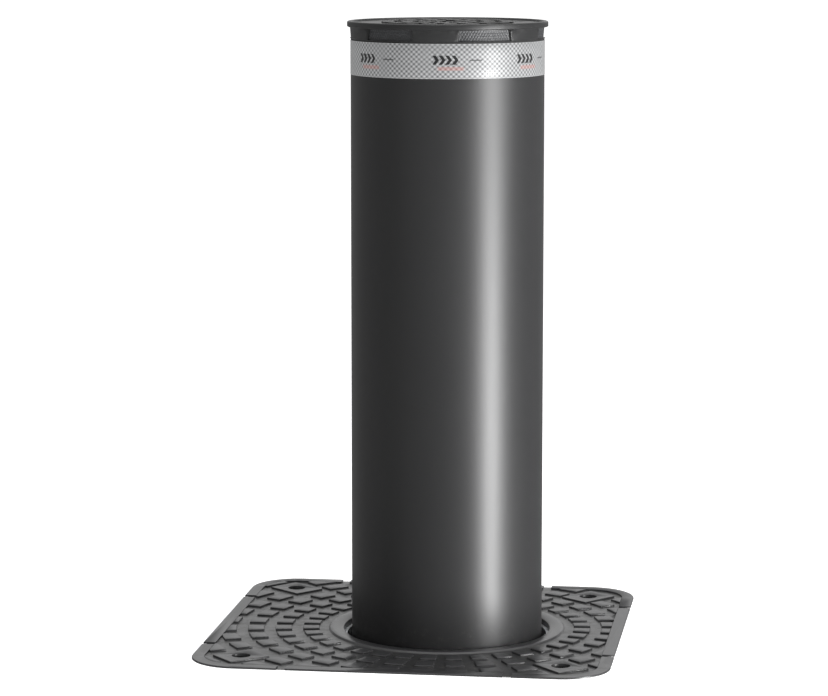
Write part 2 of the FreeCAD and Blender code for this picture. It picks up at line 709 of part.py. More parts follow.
def light_boards():
    """Circuit boards behind the lenses, each with three light chips."""
    z0, z1 = window_span()
    zm = (z0 + z1) / 2
    r0 = window_floor_r() + SEAT_GAP
    r1 = r0 + BOARD_T
    found = []
    for a in light_angles():
        board = sector(r0, r1, a, LIGHT_ANGLE_TOP - 3.0, z0 + 0.6, z1 - 0.6)
        chips = [sector(r1 - 0.2, r1 + 1.2, a + da, 2.6, zm - 2.5, zm + 2.5) for da in (-9, 0, 9)]
        found.append(joined([board] + chips))
    return found


def head_plate():
    """Disc welded in the post, with tapped standoffs that take the cap screws."""
    shapes = [disc(TUBE_RI, HEAD_PLATE_Z0, HEAD_PLATE_Z1)]
    cuts = [disc(10.25, HEAD_PLATE_Z0 - 1, HEAD_PLATE_Z1 + 1),
            disc(6.0, HEAD_PLATE_Z0 - 1, HEAD_PLATE_Z1 + 1, 0, SPIRAL_LEAD_Y)]
    for x, y in cap_screw_places():
        shapes.append(disc(POST_D / 2, HEAD_PLATE_Z1 - 1, HEAD_CEILING - SEAT_GAP, x, y))
        cuts.append(disc(CAP_SCREW_D / 2 + 0.1, HEAD_PLATE_Z1 + 2, HEAD_CEILING + 1, x, y))
    return joined(shapes).cut(cuts)


def light_driver():
    """Potted control unit for the lights, on the head plate."""
    z1 = min(HEAD_PLATE_Z1 + 22.0, HEAD_CEILING - 3.0)
    box = block(-34, 34, -74, -30, HEAD_PLATE_Z1, z1)
    upright = [e for e in box.Edges if abs(e.tangentAt(e.FirstParameter).z) > 0.9]
    return box.makeFillet(4.0, upright)


def head_bolt():
    """Bolt and washer that hold the push tube to the head plate."""
    washer = disc(20.0, HEAD_PLATE_Z1, HEAD_PLATE_Z1 + 3.0)
    head = hex_prism(30.0, HEAD_PLATE_Z1 + 2.5, HEAD_PLATE_Z1 + 15.5)
    shank = disc(9.9, HEAD_PLATE_Z0 - PLUG_L + 2.0, HEAD_PLATE_Z1 + 3.0)
    return joined([washer, head, shank])


def push_tube():
    shell = ring(PUSH_R, PUSH_RI, NUT_Z1, HEAD_PLATE_Z0)
    plug = ring(PUSH_RI + 0.5, 10.0, HEAD_PLATE_Z0 - PLUG_L, HEAD_PLATE_Z0)
    return joined([shell, plug])


def ball_nut():
    return ring(NUT_R, SCREW_R + RUN_GAP, NUT_Z0, NUT_Z1).cut(
        [ring(NUT_R + 2, NUT_R - 3.0, NUT_Z0 + 12, NUT_Z1 - 12)])


# ---------------------------------------------------------------- lifting screw
def actuator_barrel():
    return ring(BARREL_R, BARREL_RI, FOOT_Z1 - 12.0, GLAND_Z0 + 10.0)


def barrel_gland():
    body = ring(GLAND_R, PUSH_R + RUN_GAP, GLAND_Z0, GLAND_Z1)
    edge = top_edges(body, GLAND_Z1)
    body = body.makeChamfer(1.5, [e for e in edge if e.Curve.Radius > PUSH_R + 5])
    return body.cut(disc(BARREL_R, GLAND_Z0 - 1, GLAND_Z0 + 10.0))


def barrel_foot():
    """Bearing housing that carries the barrel."""
    body = turned([(BEARING_OD / 2, BASE_Z1), (FOOT_R, BASE_Z1), (FOOT_R, BASE_Z1 + 12),
                   (BARREL_R + 4, BASE_Z1 + 16), (BARREL_R + 4, FOOT_Z1), (BARREL_R, FOOT_Z1),
                   (BARREL_R, FOOT_Z1 - 12.0), (SCREW_R + 2.0, FOOT_Z1 - 12.0), (SCREW_R + 2.0, BEARING_Z1),
                   (BEARING_OD / 2, BEARING_Z1)])
    cuts = [disc(4.2, BASE_Z1 - 1, BASE_Z1 + 17, x, y) for x, y in foot_bolt_places()]
    cuts += [disc(8.2, BASE_Z1 + 12, BASE_Z1 + 20, x, y) for x, y in foot_bolt_places()]
    return body.cut(cuts)


def foot_bolts():
    found = []
    for x, y in foot_bolt_places():
        head = hex_prism(13.0, BASE_Z1 + 12.0, BASE_Z1 + 17.5, x, y)
        shank = disc(4.0, BASE_Z0 + 2.0, BASE_Z1 + 12.5, x, y)
        found.append(joined([head, shank]))
    return found


def screw_bearings():
    """Two ball bearings, each an outer ring, an inner ring and its balls."""
    found = []
    ro, ri = BEARING_OD / 2, JOURNAL_R
    pitch, ball = (ro + ri) / 2, 3.6
    for i in range(2):
        z0 = BEARING_Z0 + i * BEARING_T
        z1, zm = z0 + BEARING_T - 0.2, z0 + BEARING_T / 2 - 0.1
        outer = ring(ro, ro - 4.2, z0, z1)
        inner = ring(ri + 4.0, ri + 0.02, z0, z1)
        balls = [Part.makeSphere(ball - 0.9, vec(pitch * math.cos(a), pitch * math.sin(a), zm))
                 for a in (2 * math.pi * k / 10 for k in range(10))]
        found += [outer, inner] + balls
    return found


def ball_screw():
    """Lifting screw at its pitch cylinder, with turned journals."""
    body = joined([disc(SCREW_R, BEARING_Z1 + 1.0, TIP_Z0 + 0.5),
                   disc(JOURNAL_R, BASE_Z0 - 1, BEARING_Z1 + 1.5),
                   disc(JOURNAL_R - 2.5, PULLEY_Z0 - 6.0, BASE_Z0),
                   disc(8.0, TIP_Z0, TIP_Z1 - 1.0)])
    return body


def screw_tip_guide():
    return ring(PUSH_RI - RUN_GAP, 8.0, TIP_Z0 + 0.5, TIP_Z1)


def toothed_pulley(r, bore, teeth, x):
    """Pulley with half-round grooves between two flanges."""
    rim_r = r - 0.6
    hub = disc(rim_r, PULLEY_Z0 + 1.6, PULLEY_Z1 - 1.6, x)
    groove = disc(1.3, PULLEY_Z0 + 1.7, PULLEY_Z1 - 1.7, x + rim_r)
    hub = hub.cut([at_angle(groove, 360.0 * i / teeth, x) for i in range(teeth)])
    flanges = [disc(r + 2.4, PULLEY_Z0, PULLEY_Z0 + 1.6, x), disc(r + 2.4, PULLEY_Z1 - 1.6, PULLEY_Z1, x)]
    return joined([hub] + flanges).cut(disc(bore, PULLEY_Z0 - 1, PULLEY_Z1 + 1, x))


def screw_pulley():
    return toothed_pulley(SCREW_PULLEY_R, JOURNAL_R - 2.5, SCREW_PULLEY_TEETH, 0.0)


def pulley_lock_nut():
    nut = hex_prism(34.0, PULLEY_Z0 - 5.5, PULLEY_Z0)
    return nut.cut(disc(JOURNAL_R - 2.5, PULLEY_Z0 - 6, PULLEY_Z0 + 1))


def motor_pulley():
    return toothed_pulley(MOTOR_PULLEY_R, 7.0, MOTOR_PULLEY_TEETH, MOTOR_X)


def motor_shaft():
    return disc(7.0, PULLEY_Z0 - 3.0, BASE_Z1 + 6.0, MOTOR_X)


def drive_belt():
    """Closed belt round both pulleys, a little proud of their rims."""
    z0, z1 = PULLEY_Z0 + 1.6 + RUN_GAP, PULLEY_Z1 - 1.6 - RUN_GAP
    gap = RUN_GAP - 0.1
    outer = belt_outline(SCREW_PULLEY_R + BELT_T - 1.6, MOTOR_PULLEY_R + BELT_T - 1.6, z0, z1)
    inner = belt_outline(SCREW_PULLEY_R - 0.6 + gap, MOTOR_PULLEY_R - 0.6 + gap, z0 - 1, z1 + 1)
    return outer.cut(inner)


def belt_outline(r_screw, r_motor, z0, z1):
    """Prism of the hull of two circles, one on each shaft."""
    span = abs(MOTOR_X)
    tilt = math.acos((r_screw - r_motor) / span)

    def on(r, x, a):
        return vec(x + r * math.cos(a), r * math.sin(a), z0)

    a0 = math.pi - tilt
    left, far, right = (on(r_motor, MOTOR_X, a) for a in (a0, math.pi, -a0))
    edges = [
        Part.Arc(on(r_screw, 0, -a0), on(r_screw, 0, 0), on(r_screw, 0, a0)).toShape(),
        Part.makeLine(on(r_screw, 0, a0), left),
        Part.Arc(left, far, right).toShape(),
        Part.makeLine(right, on(r_screw, 0, -a0)),
    ]
    return Part.Face(Part.Wire(edges)).extrude(vec(0, 0, z1 - z0))


def belt_guard():
    """Pan under the base plate that closes the belt in."""
    r0, r1 = SCREW_PULLEY_R + 14.0, MOTOR_R + 0.5
    outer = belt_outline(r0, r1, GUARD_Z0, BASE_Z0)
    inner = belt_outline(r0 - GUARD_WALL, r1 - GUARD_WALL, GUARD_Z0 + GUARD_WALL, BASE_Z0 + 1)
    drain = disc(4.0, GUARD_Z0 - 1, GUARD_Z0 + GUARD_WALL + 1, MOTOR_X / 2)
    return outer.cut([inner, drain])


# ---------------------------------------------------------------- drive motor
def gearbox():
    body = disc(MOTOR_R, BASE_Z1, GEARBOX_Z1, MOTOR_X)
    body = body.makeChamfer(2.0, top_edges(body, GEARBOX_Z1))
    return body.cut([disc(14.0, BASE_Z1 - 1, BASE_Z1 + 8, MOTOR_X)]
                    + [disc(3.4, BASE_Z1 - 1, BASE_Z1 + 14, x, y) for x, y in motor_bolt_places()])


def motor_body():
    """Finned motor shell."""
    shell = disc(MOTOR_R - 6.0, GEARBOX_Z1, MOTOR_Z1, MOTOR_X)
    fins = []
    count = 24
    for i in range(count):
        fin = block(MOTOR_X, MOTOR_X + MOTOR_R - 1.5, -1.2, 1.2, GEARBOX_Z1 + 8, MOTOR_Z1 - 8)
        fins.append(at_angle(fin, 360.0 * i / count, MOTOR_X))
    ends = [disc(MOTOR_R - 1.5, z, z + 9, MOTOR_X) for z in (GEARBOX_Z1, MOTOR_Z1 - 9)]
    return joined([shell] + fins + ends)


def brake_cover():
    """Cover of the holding brake, slotted for its release lever."""
    body = disc(MOTOR_R - 3.0, MOTOR_Z1, BRAKE_Z1, MOTOR_X)
    body = body.makeFillet(5.0, top_edges(body, BRAKE_Z1))
    slot = block(MOTOR_X - 5.5, MOTOR_X + 5.5, 8.0, MOTOR_R + 5, lever_z() - 12, lever_z() + 12)
    gland = disc(8.0, BRAKE_Z1 - 1, BRAKE_Z1 + 9, MOTOR_X, 0)
    return joined([body.cut(slot), gland]).cut(disc(CABLE_D / 2, BRAKE_Z1 + 3, BRAKE_Z1 + 10, MOTOR_X))


def lever_z():
    return MOTOR_Z1 + BRAKE_H * 0.45


def brake_release_lever():
    """Hand lever on a cross pin in the brake cover's slot."""
    z = lever_z()
    pivot_y = 16.0
    arm = block(MOTOR_X - 3.5, MOTOR_X + 3.5, pivot_y, MOTOR_R + LEVER_L, z - 3.0, z + 3.0)
    boss = rod(6.5, vec(MOTOR_X - 3.5, pivot_y, z), vec(MOTOR_X + 3.5, pivot_y, z))
    knob = rod(7.0, vec(MOTOR_X, MOTOR_R + LEVER_L - 4, z), vec(MOTOR_X, MOTOR_R + LEVER_L + 14, z))
    knob = knob.makeFillet(2.5, [e for e in knob.Edges if e.Closed])
    bore = rod(2.6, vec(MOTOR_X - 9, pivot_y, z), vec(MOTOR_X + 9, pivot_y, z))
    return joined([arm, boss, knob]).cut(bore)


def lever_pin():
    z = lever_z()
    return rod(2.5, vec(MOTOR_X - 5.5, 16.0, z), vec(MOTOR_X + 5.5, 16.0, z))


def motor_bolts():
    found = []
    for x, y in motor_bolt_places():
        head = disc(5.0, BASE_Z0 - 5.0, BASE_Z0, x, y)
        shank = disc(3.0, BASE_Z0 - 1, BASE_Z1 + 12, x, y)
        found.append(joined([head, shank]).cut(hex_prism(5.0, BASE_Z0 - 6, BASE_Z0 - 2, x, y)))
    return found


# ---------------------------------------------------------------- wiring

def junction_box():
    x0, x1 = BAY_X, BAY_X + JUNCTION_D
    body = block(x0, x1, -JUNCTION_W / 2, JUNCTION_W / 2, JUNCTION_Z1 - JUNCTION_H, JUNCTION_Z1)
    along = [e for e in body.Edges if abs(e.tangentAt(e.FirstParameter).x) > 0.9]
    body = body.makeFillet(6.0, along)
    hollow = block(x0 + 3, x1 + 1, -JUNCTION_W / 2 + 12, JUNCTION_W / 2 - 12,
                   JUNCTION_Z1 - JUNCTION_H + 4, JUNCTION_Z1 - 4)
    z0 = JUNCTION_Z1 - JUNCTION_H
    holes = [disc(8.0, z0 - 1, z0 + 5, gland_x(), y) for y in GLAND_Y]
    return body.cut([hollow] + holes)


def gland_x():
    return BAY_X + JUNCTION_D * 0.55


def junction_lid():
    x0 = BAY_X + JUNCTION_D
    lid = block(x0, x0 + LID_T, -JUNCTION_W / 2, JUNCTION_W / 2, JUNCTION_Z1 - JUNCTION_H, JUNCTION_Z1)
    along = [e for e in lid.Edges if abs(e.tangentAt(e.FirstParameter).x) > 0.9]
    lid = lid.makeFillet(6.0, along)
    x1 = x0 + LID_T
    return lid.cut([rod(4.6, vec(x1 - 3, y, z), vec(x1 + 1, y, z)) for y, z in lid_screw_places()])


def lid_screw_places():
    zm = JUNCTION_Z1 - JUNCTION_H / 2
    return [(sy * (JUNCTION_W / 2 - 7), zm + sz * (JUNCTION_H / 2 - 8)) for sy in (-1, 1) for sz in (-1, 1)]


def lid_screws():
    x1 = BAY_X + JUNCTION_D + LID_T - 0.3
    found = []
    for y, z in lid_screw_places():
        head = rod(4.2, vec(x1 - 2.6, y, z), vec(x1, y, z))
        found.append(head.cut(block(x1 - 1.2, x1 + 1, y - 0.6, y + 0.6, z - 5, z + 5)))
    return found


def cable_glands():
    """Two nylon glands under the junction box."""
    z1 = JUNCTION_Z1 - JUNCTION_H
    found = []
    for y in GLAND_Y:
        thread = disc(7.8, z1 - 2, z1 + 4, gland_x(), y)
        hexagon = hex_prism(19.0, z1 - 8, z1 - 1, gland_x(), y)
        dome = disc(8.6, z1 - 20, z1 - 7, gland_x(), y)
        body = joined([thread, hexagon, dome])
        found.append(body.cut(disc(CABLE_D / 2, z1 - 21, z1 + 5, gland_x(), y)))
    return found


def rounded_path(points):
    """Wire of straight runs joined by tangent arcs, as large as the runs allow."""
    edges, start = [], points[0]
    for i in range(1, len(points) - 1):
        before, corner, after = points[i - 1], points[i], points[i + 1]
        d1, d2 = (corner - before), (after - corner)
        turn = d1.getAngle(d2)
        cut_back = 0.45 * min(d1.Length, d2.Length)
        radius = cut_back / math.tan(turn / 2)
        u1, u2 = d1.normalize(), d2.normalize()
        p1, p2 = corner - u1 * cut_back, corner + u2 * cut_back
        inward = (u2 - u1).normalize()
        centre = corner + inward * (radius / math.cos(turn / 2))
        middle = centre - inward * radius
        if (p1 - start).Length > 1e-6:
            edges.append(Part.makeLine(start, p1))
        edges.append(Part.Arc(p1, middle, p2).toShape())
        start = p2
        print("bend radius %.0f mm" % radius)
    edges.append(Part.makeLine(start, points[-1]))
    return Part.Wire(edges)


def motor_cable():
    """Lead from the brake cover up to the junction box."""
    z_low = BRAKE_Z1 + 3.0
    z_high = JUNCTION_Z1 - JUNCTION_H + 2.0
    run = (z_high - z_low) / 8
    points = [vec(MOTOR_X, 0, z_low), vec(MOTOR_X, 0, z_low + run), vec(MOTOR_X - 4, 10, z_low + 2 * run),
              vec(MOTOR_X - 12, 24, z_low + 3 * run), vec(gland_x() + 1, 30, z_low + 4.2 * run),
              vec(gland_x() + 2, 27, z_low + 5.4 * run), vec(gland_x(), 26, z_low + 6.6 * run),
              vec(gland_x(), 26, z_high)]
    path = rounded_path(points)
    profile = Part.Wire([Part.makeCircle(CABLE_D / 2 - 0.1, points[0], Z)])
    cable = path.makePipeShell([profile], True, False)
    print("cable volume %.0f, section times length %.0f"
          % (cable.Volume, math.pi * (CABLE_D / 2 - 0.1) ** 2 * path.Length))
    return cable


def spiral_lead():
    """Coiled lead to the lights, as the envelope of its coil."""
    return disc(SPIRAL_LEAD_OD / 2, BASE_Z1, HEAD_PLATE_Z0, 0, SPIRAL_LEAD_Y)


# ---------------------------------------------------------------- pit casing
def casing_top_frame():
    """Frame welded round the casing's mouth, with four corner gussets for the plate screws."""
    cx = PLATE_OFFSET_X
    outer = rounded_square(CARRIER_HALF, CARRIER_CORNER_R, FRAME_Z0, CARRIER_Z0, cx)
    frame = outer.cut(block(cx - CASE_IN, cx + CASE_IN, -CASE_IN, CASE_IN, FRAME_Z0 - 1, CARRIER_Z0 + 1))
    shapes, holes = [frame], []
    for x, y in plate_screw_places():
        sx, sy = (1 if x > cx else -1), (1 if y > 0 else -1)
        ex, ey = cx + sx * (CASE_IN + 1), sy * (CASE_IN + 1)
        wire = Part.makePolygon([vec(ex, ey, FRAME_Z0), vec(ex - sx * GUSSET, ey, FRAME_Z0),
                                 vec(ex, ey - sy * GUSSET, FRAME_Z0), vec(ex, ey, FRAME_Z0)])
        shapes.append(Part.Face(wire).extrude(vec(0, 0, CASE_FRAME_T)))
        holes.append(disc(SCREW_D / 2 + 0.75, FRAME_Z0 - 1, CARRIER_Z0 + 1, x, y))
    return joined(shapes).cut(holes)


def weld_nuts():
    found = []
    for x, y in plate_screw_places():
        nut = hex_prism(18.0, FRAME_Z0 - 10.0, FRAME_Z0, x, y)
        found.append(nut.cut(disc(SCREW_D / 2, FRAME_Z0 - 11, FRAME_Z0 + 1, x, y)))
    return found


def casing_panels():
    """Four flat walls of the pit casing; the left one is holed for the conduit."""
    z0, z1 = CASE_FLOOR_Z1, FRAME_Z0
    front = block(CASE_X0, CASE_X1, -CASE_HALF, -CASE_IN, z0, z1)
    rear = block(CASE_X0, CASE_X1, CASE_IN, CASE_HALF, z0, z1)
    left = block(CASE_X0, BAY_X, -CASE_IN, CASE_IN, z0, z1)
    right = block(CASE_X1 - CASE_WALL, CASE_X1, -CASE_IN, CASE_IN, z0, z1)
    hole = rod(CONDUIT_D / 2 + CONDUIT_WALL, vec(CASE_X0 - 5, 0, CONDUIT_Z), vec(BAY_X + 5, 0, CONDUIT_Z))
    return [front, rear, left.cut(hole), right]


def casing_floor():
    plate = block(CASE_X0, CASE_X1, -CASE_HALF, CASE_HALF, CASE_Z0, CASE_FLOOR_Z1)
    return plate.cut(disc(DRAIN_D / 2, CASE_Z0 - 1, CASE_FLOOR_Z1 + 1, PLATE_OFFSET_X, 0))


def drain_collar():
    """Ring welded round the drain outlet; water leaves through its slots."""
    wall = 4.0
    r, z0 = DRAIN_D / 2, CASE_FLOOR_Z1
    collar = ring(r + wall, r, z0, z0 + DRAIN_RING_H, PLATE_OFFSET_X)
    slot = block(r - 3, r + wall + 3, -4, 4, z0 + 6, z0 + DRAIN_RING_H - 8)
    slot.translate(vec(PLATE_OFFSET_X, 0, 0))
    return collar.cut(around(slot, 8, 22.5, PLATE_OFFSET_X))


def conduit_sleeve():
    r0 = CONDUIT_D / 2
    outer = rod(r0 + CONDUIT_WALL, vec(CASE_X0 - 22, 0, CONDUIT_Z), vec(BAY_X + 12, 0, CONDUIT_Z))
    return outer.cut(rod(r0, vec(CASE_X0 - 30, 0, CONDUIT_Z), vec(BAY_X + 20, 0, CONDUIT_Z)))


def anchor_bars():
    """Staple-shaped bars that tie the casing to the concrete."""
    found = []
    r = ANCHOR_D / 2
    for z in ANCHOR_ROWS:
        for k in range(4):
            half = ANCHOR_H / 2
            out = CASE_HALF + ANCHOR_OUT - r
            y = 110.0
            legs = [rod(r, vec(CASE_HALF, y, z + s * half), vec(out, y, z + s * half)) for s in (-1, 1)]
            back = rod(r, vec(out, y, z - half - r), vec(out, y, z + half + r))
            bar = joined(legs + [back])
            bar = at_angle(bar, 90.0 * k)
            bar.translate(vec(PLATE_OFFSET_X, 0, 0))
            found.append(bar)
    return found


# ---------------------------------------------------------------- export
PARTS = {
    "tread_plate": tread_plate,
    "plate_screws": plate_screws,
    "wiper_seal": wiper_seal,
    "carrier_flange": carrier_flange,
    "outer_guide_tube": outer_guide_tube,
    "upper_guide_bush": upper_guide_bush,
    "bush_screws": bush_screws,
    "stop_ring": stop_ring,
    "upper_stop_buffer": upper_stop_buffer,
    "anti_rotation_rail": anti_rotation_rail,
    "unit_base_plate": unit_base_plate,
    "lower_buffer": lower_buffer,
    "limit_sensors": limit_sensors,
    "sensor_lock_nuts": sensor_lock_nuts,
    "actuator_barrel": actuator_barrel,
    "barrel_gland": barrel_gland,
    "barrel_foot": barrel_foot,
    "foot_bolts": foot_bolts,
    "screw_bearings": screw_bearings,
    "gearbox": gearbox,
    "motor_body": motor_body,
    "brake_cover": brake_cover,
    "lever_pin": lever_pin,
    "motor_bolts": motor_bolts,
    "drive_belt": drive_belt,
    "belt_guard": belt_guard,
    "junction_box": junction_box,
    "junction_lid": junction_lid,
    "lid_screws": lid_screws,
    "cable_glands": cable_glands,
    "motor_cable": motor_cable,
    "spiral_lead": spiral_lead,
    "casing_top_frame": casing_top_frame,
    "weld_nuts": weld_nuts,
    "casing_panels": casing_panels,
    "casing_floor": casing_floor,
    "drain_collar": drain_collar,
    "conduit_sleeve": conduit_sleeve,
    "anchor_bars": anchor_bars,
    "lift_tube": lift_tube,
    "reflective_band": reflective_band,
    "head_cap": head_cap,
    "cap_screws": cap_screws,
    "head_gasket": head_gasket,
    "light_lenses": light_lenses,
    "light_boards": light_boards,
    "head_plate": head_plate,
    "light_driver": light_driver,
    "head_bolt": head_bolt,
    "push_tube": push_tube,
    "ball_nut": ball_nut,
    "lower_guide_flange": lower_guide_flange,
    "lower_wear_ring": lower_wear_ring,
    "ball_screw": ball_screw,
    "screw_tip_guide": screw_tip_guide,
    "screw_pulley": screw_pulley,
    "pulley_lock_nut": pulley_lock_nut,
    "motor_pulley": motor_pulley,
    "motor_shaft": motor_shaft,
    "brake_release_lever": brake_release_lever,
}


def main():
    os.makedirs("parts", exist_ok=True)
    for name, make in PARTS.items():
        made = make()
        solids = [s for piece in made for s in piece.Solids] if isinstance(made, list) else made.Solids
        shape = solids[0] if len(solids) == 1 else Part.makeCompound(solids)
        if not shape.isValid():
            raise ValueError("invalid shape: " + name)
        shape.exportStep("parts/%s.step" % name)


main()
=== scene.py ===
"""Retractable bollard: the finished look of the post, its tread plate and all that is under it.

Shapes that the frame already holds keep their meshes and are given a finish.  Where the
real piece has more shape than its stand-in, such as a thread, a coil or a prismatic lens, a
new surface is worked out as whole arrays and takes the stand-in's place.
"""
import json
import logging
import math
from dataclasses import dataclass, field
from enum import Enum
from typing import Any, Union

import bmesh
import bpy
import numpy as np
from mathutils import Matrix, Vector


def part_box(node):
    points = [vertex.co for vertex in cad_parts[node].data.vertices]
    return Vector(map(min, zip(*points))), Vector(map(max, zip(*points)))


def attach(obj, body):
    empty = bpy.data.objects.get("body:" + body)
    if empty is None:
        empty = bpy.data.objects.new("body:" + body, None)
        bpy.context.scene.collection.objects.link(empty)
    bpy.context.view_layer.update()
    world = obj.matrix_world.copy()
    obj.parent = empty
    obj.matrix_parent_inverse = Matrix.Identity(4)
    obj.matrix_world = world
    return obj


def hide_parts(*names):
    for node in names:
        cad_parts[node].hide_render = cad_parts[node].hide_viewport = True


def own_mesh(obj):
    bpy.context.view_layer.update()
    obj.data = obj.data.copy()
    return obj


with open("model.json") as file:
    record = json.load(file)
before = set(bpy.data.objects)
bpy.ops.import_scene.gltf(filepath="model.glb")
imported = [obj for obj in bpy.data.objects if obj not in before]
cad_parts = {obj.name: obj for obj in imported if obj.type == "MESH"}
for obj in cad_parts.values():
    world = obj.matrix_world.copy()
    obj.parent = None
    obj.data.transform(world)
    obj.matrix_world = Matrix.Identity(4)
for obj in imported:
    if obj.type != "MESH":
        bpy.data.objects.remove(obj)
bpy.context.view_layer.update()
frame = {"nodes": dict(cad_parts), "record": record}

log = logging.getLogger("bollard")
Number = Union[int, float]
Colour = tuple[float, float, float]
Span = tuple[float, float]
MM = 0.001
TURN = 2 * math.pi


# ---------------------------------------------------------------- shader maths
class Value:
    """A shader socket that adds Math nodes when it is used in arithmetic."""

    def __init__(self, shader: "Shader", socket: bpy.types.NodeSocket) -> None:
        """Wraps one output socket.

        Args:
            shader: the shader that the socket belongs to.
            socket: the output socket.
        """
        self.shader = shader
        self.socket = socket

    def op(self, operation: str, *others: Any) -> "Value":
        """One Math node with this value as its first input.

        Args:
            operation: the Math node's operation.
            others: further inputs, each a Value or a number.

        Returns:
            The node's result.
        """
        settings = {"operation": operation}
        return self.shader.node("ShaderNodeMath", settings, self, *others).out()

    def __add__(self, other: Any) -> "Value":
        """Sum."""
        return self.op("ADD", other)

    __radd__ = __add__

    def __sub__(self, other: Any) -> "Value":
        """Difference."""
        return self.op("SUBTRACT", other)

    def __rsub__(self, other: Number) -> "Value":
        """Difference from a number."""
        return self.op("MULTIPLY", -1.0) + other

    def __mul__(self, other: Any) -> "Value":
        """Product."""
        return self.op("MULTIPLY", other)

    __rmul__ = __mul__

    def __truediv__(self, other: Any) -> "Value":
        """Quotient."""
        return self.op("DIVIDE", other)

    def wrapped(self, period: Number) -> "Value":
        """This value less whole periods, from 0 to the period."""
        return self.op("FLOORED_MODULO", period)

    def step(self, low: Number, high: Number) -> "Value":
        """Smooth step: 0 below low, 1 above high."""
        settings = {"interpolation_type": "SMOOTHSTEP", "clamp": True}
        return self.shader.node("ShaderNodeMapRange", settings, self, low, high, 0.0, 1.0).out()

    def near(self, centre: Number, reach: Number, soft: Number) -> "Value":
        """1 within reach of a centre, falling to 0 over a soft edge."""
        return 1.0 - (self - centre).op("ABSOLUTE").step(reach, reach + soft)


class Made:
    """A node that has been added, with its outputs as Values."""

    def __init__(self, shader: "Shader", node: bpy.types.Node) -> None:
        """Keeps the node and its shader."""
        self.shader = shader
        self.raw = node

    def out(self, name: Union[str, int] = 0) -> Value:
        """An output by name or number."""
        return Value(self.shader, self.raw.outputs[name])


class Shader:
    """A material or a surrounding under construction."""

    def __init__(self, name: str, world: bool = False) -> None:
        """Makes an empty material, or an empty world.

        Args:
            name: the finish's name.
            world: whether the nodes are a world's.
        """
        self.material = (bpy.data.worlds if world else bpy.data.materials).new(name)
        self.material.use_nodes = True
        self.tree = self.material.node_tree
        self.tree.nodes.clear()

    def node(self, kind: str, settings: dict[str, Any] | None = None, *values: Any,
             **named: Any) -> Made:
        """Adds a node, sets it up, then fills its inputs.

        Args:
            kind: the node's type name.
            settings: attributes of the node, set before its inputs.
            values: inputs in order, each a Value, a number, a tuple or None to leave it.
            named: inputs by name, with _ for a space.

        Returns:
            The node.
        """
        made = self.tree.nodes.new(kind)
        for key, value in (settings or {}).items():
            setattr(made, key, value)
        for socket, value in zip(made.inputs, values):
            self.feed(socket, value)
        for key, value in named.items():
            self.feed(made.inputs[key.replace("_", " ")], value)
        return Made(self, made)

    def feed(self, socket: bpy.types.NodeSocket, value: Any) -> None:
        """Links or sets one input socket.

        Args:
            socket: the input socket.
            value: a Value to link, a number or tuple to set, or None to leave it.
        """
        if value is None:
            return
        if isinstance(value, Value):
            self.tree.links.new(value.socket, socket)
        elif isinstance(value, tuple) and socket.type == "RGBA":
            socket.default_value = (*value[:3], 1.0)
        else:
            socket.default_value = value

    def place(self) -> Value:
        """The point's place in the object's own frame, in metres."""
        return self.node("ShaderNodeTexCoord").out("Object")

    def axes(self, place: Value) -> tuple[Value, Value, Value]:
        """A place's three coordinates."""
        made = self.node("ShaderNodeSeparateXYZ", None, place)
        return made.out("X"), made.out("Y"), made.out("Z")

    def stretched(self, place: Value, scale: tuple[float, float, float]) -> Value:
        """A place with each coordinate scaled."""
        return self.node("ShaderNodeVectorMath", {"operation": "MULTIPLY"}, place, scale).out()

    def noise(self, place: Value, scale: Number, detail: Number = 3.0,
              rough: Number = 0.5) -> Value:
        """Fractal noise.

        Args:
            place: where it is read.
            scale: waves per metre.
            detail: octaves.
            rough: how strong each finer octave is.

        Returns:
            The noise, from 0 to 1.
        """
        made = self.node("ShaderNodeTexNoise", {"noise_dimensions": "3D"}, Vector=place,
                         Scale=scale, Detail=detail, Roughness=rough)
        return made.out("Fac" if "Fac" in made.raw.outputs else 0)

    def cells(self, place: Value, scale: Number, feature: str = "F1",
              output: str = "Distance") -> Value:
        """Cell pattern.

        Args:
            place: where it is read.
            scale: cells per metre.
            feature: what is measured.
            output: the output that is read.

        Returns:
            The pattern.
        """
        settings = {"feature": feature}
        return self.node("ShaderNodeTexVoronoi", settings, Vector=place, Scale=scale).out(output)

    def blend(self, share: Any, first: Any, second: Any) -> Value:
        """Colour that goes from first to second as share goes from 0 to 1."""
        made = self.tree.nodes.new("ShaderNodeMix")
        made.data_type = "RGBA"
        for number, value in ((0, share), (6, first), (7, second)):
            self.feed(made.inputs[number], value)
        return Value(self, made.outputs[2])

    def bump(self, height: Value, depth: Number, strength: Number = 1.0) -> Value:
        """Normal of a relief.

        Args:
            height: the relief, from 0 to 1.
            depth: the depth of the whole relief, in metres.
            strength: how much of it shows.

        Returns:
            The shading normal.
        """
        return self.node("ShaderNodeBump", None, Strength=strength, Distance=depth,
                         Height=height).out()

    def finish(self, base: Any, roughness: Any, metallic: Any = 0.0, normal: Value | None = None,
               **fixed: Any) -> bpy.types.Material:
        """Closes the material with one Principled shader.

        Args:
            base: base colour.
            roughness: roughness.
            metallic: metalness.
            normal: shading normal.
            fixed: any other inputs that are the same all over, with _ for a space.

        Returns:
            The material.
        """
        made = self.node("ShaderNodeBsdfPrincipled", None, Base_Color=base, Roughness=roughness,
                         Metallic=metallic, Normal=normal, **fixed)
        out = self.tree.nodes.new("ShaderNodeOutputMaterial")
        self.tree.links.new(made.raw.outputs[0], out.inputs[0])
        return self.material


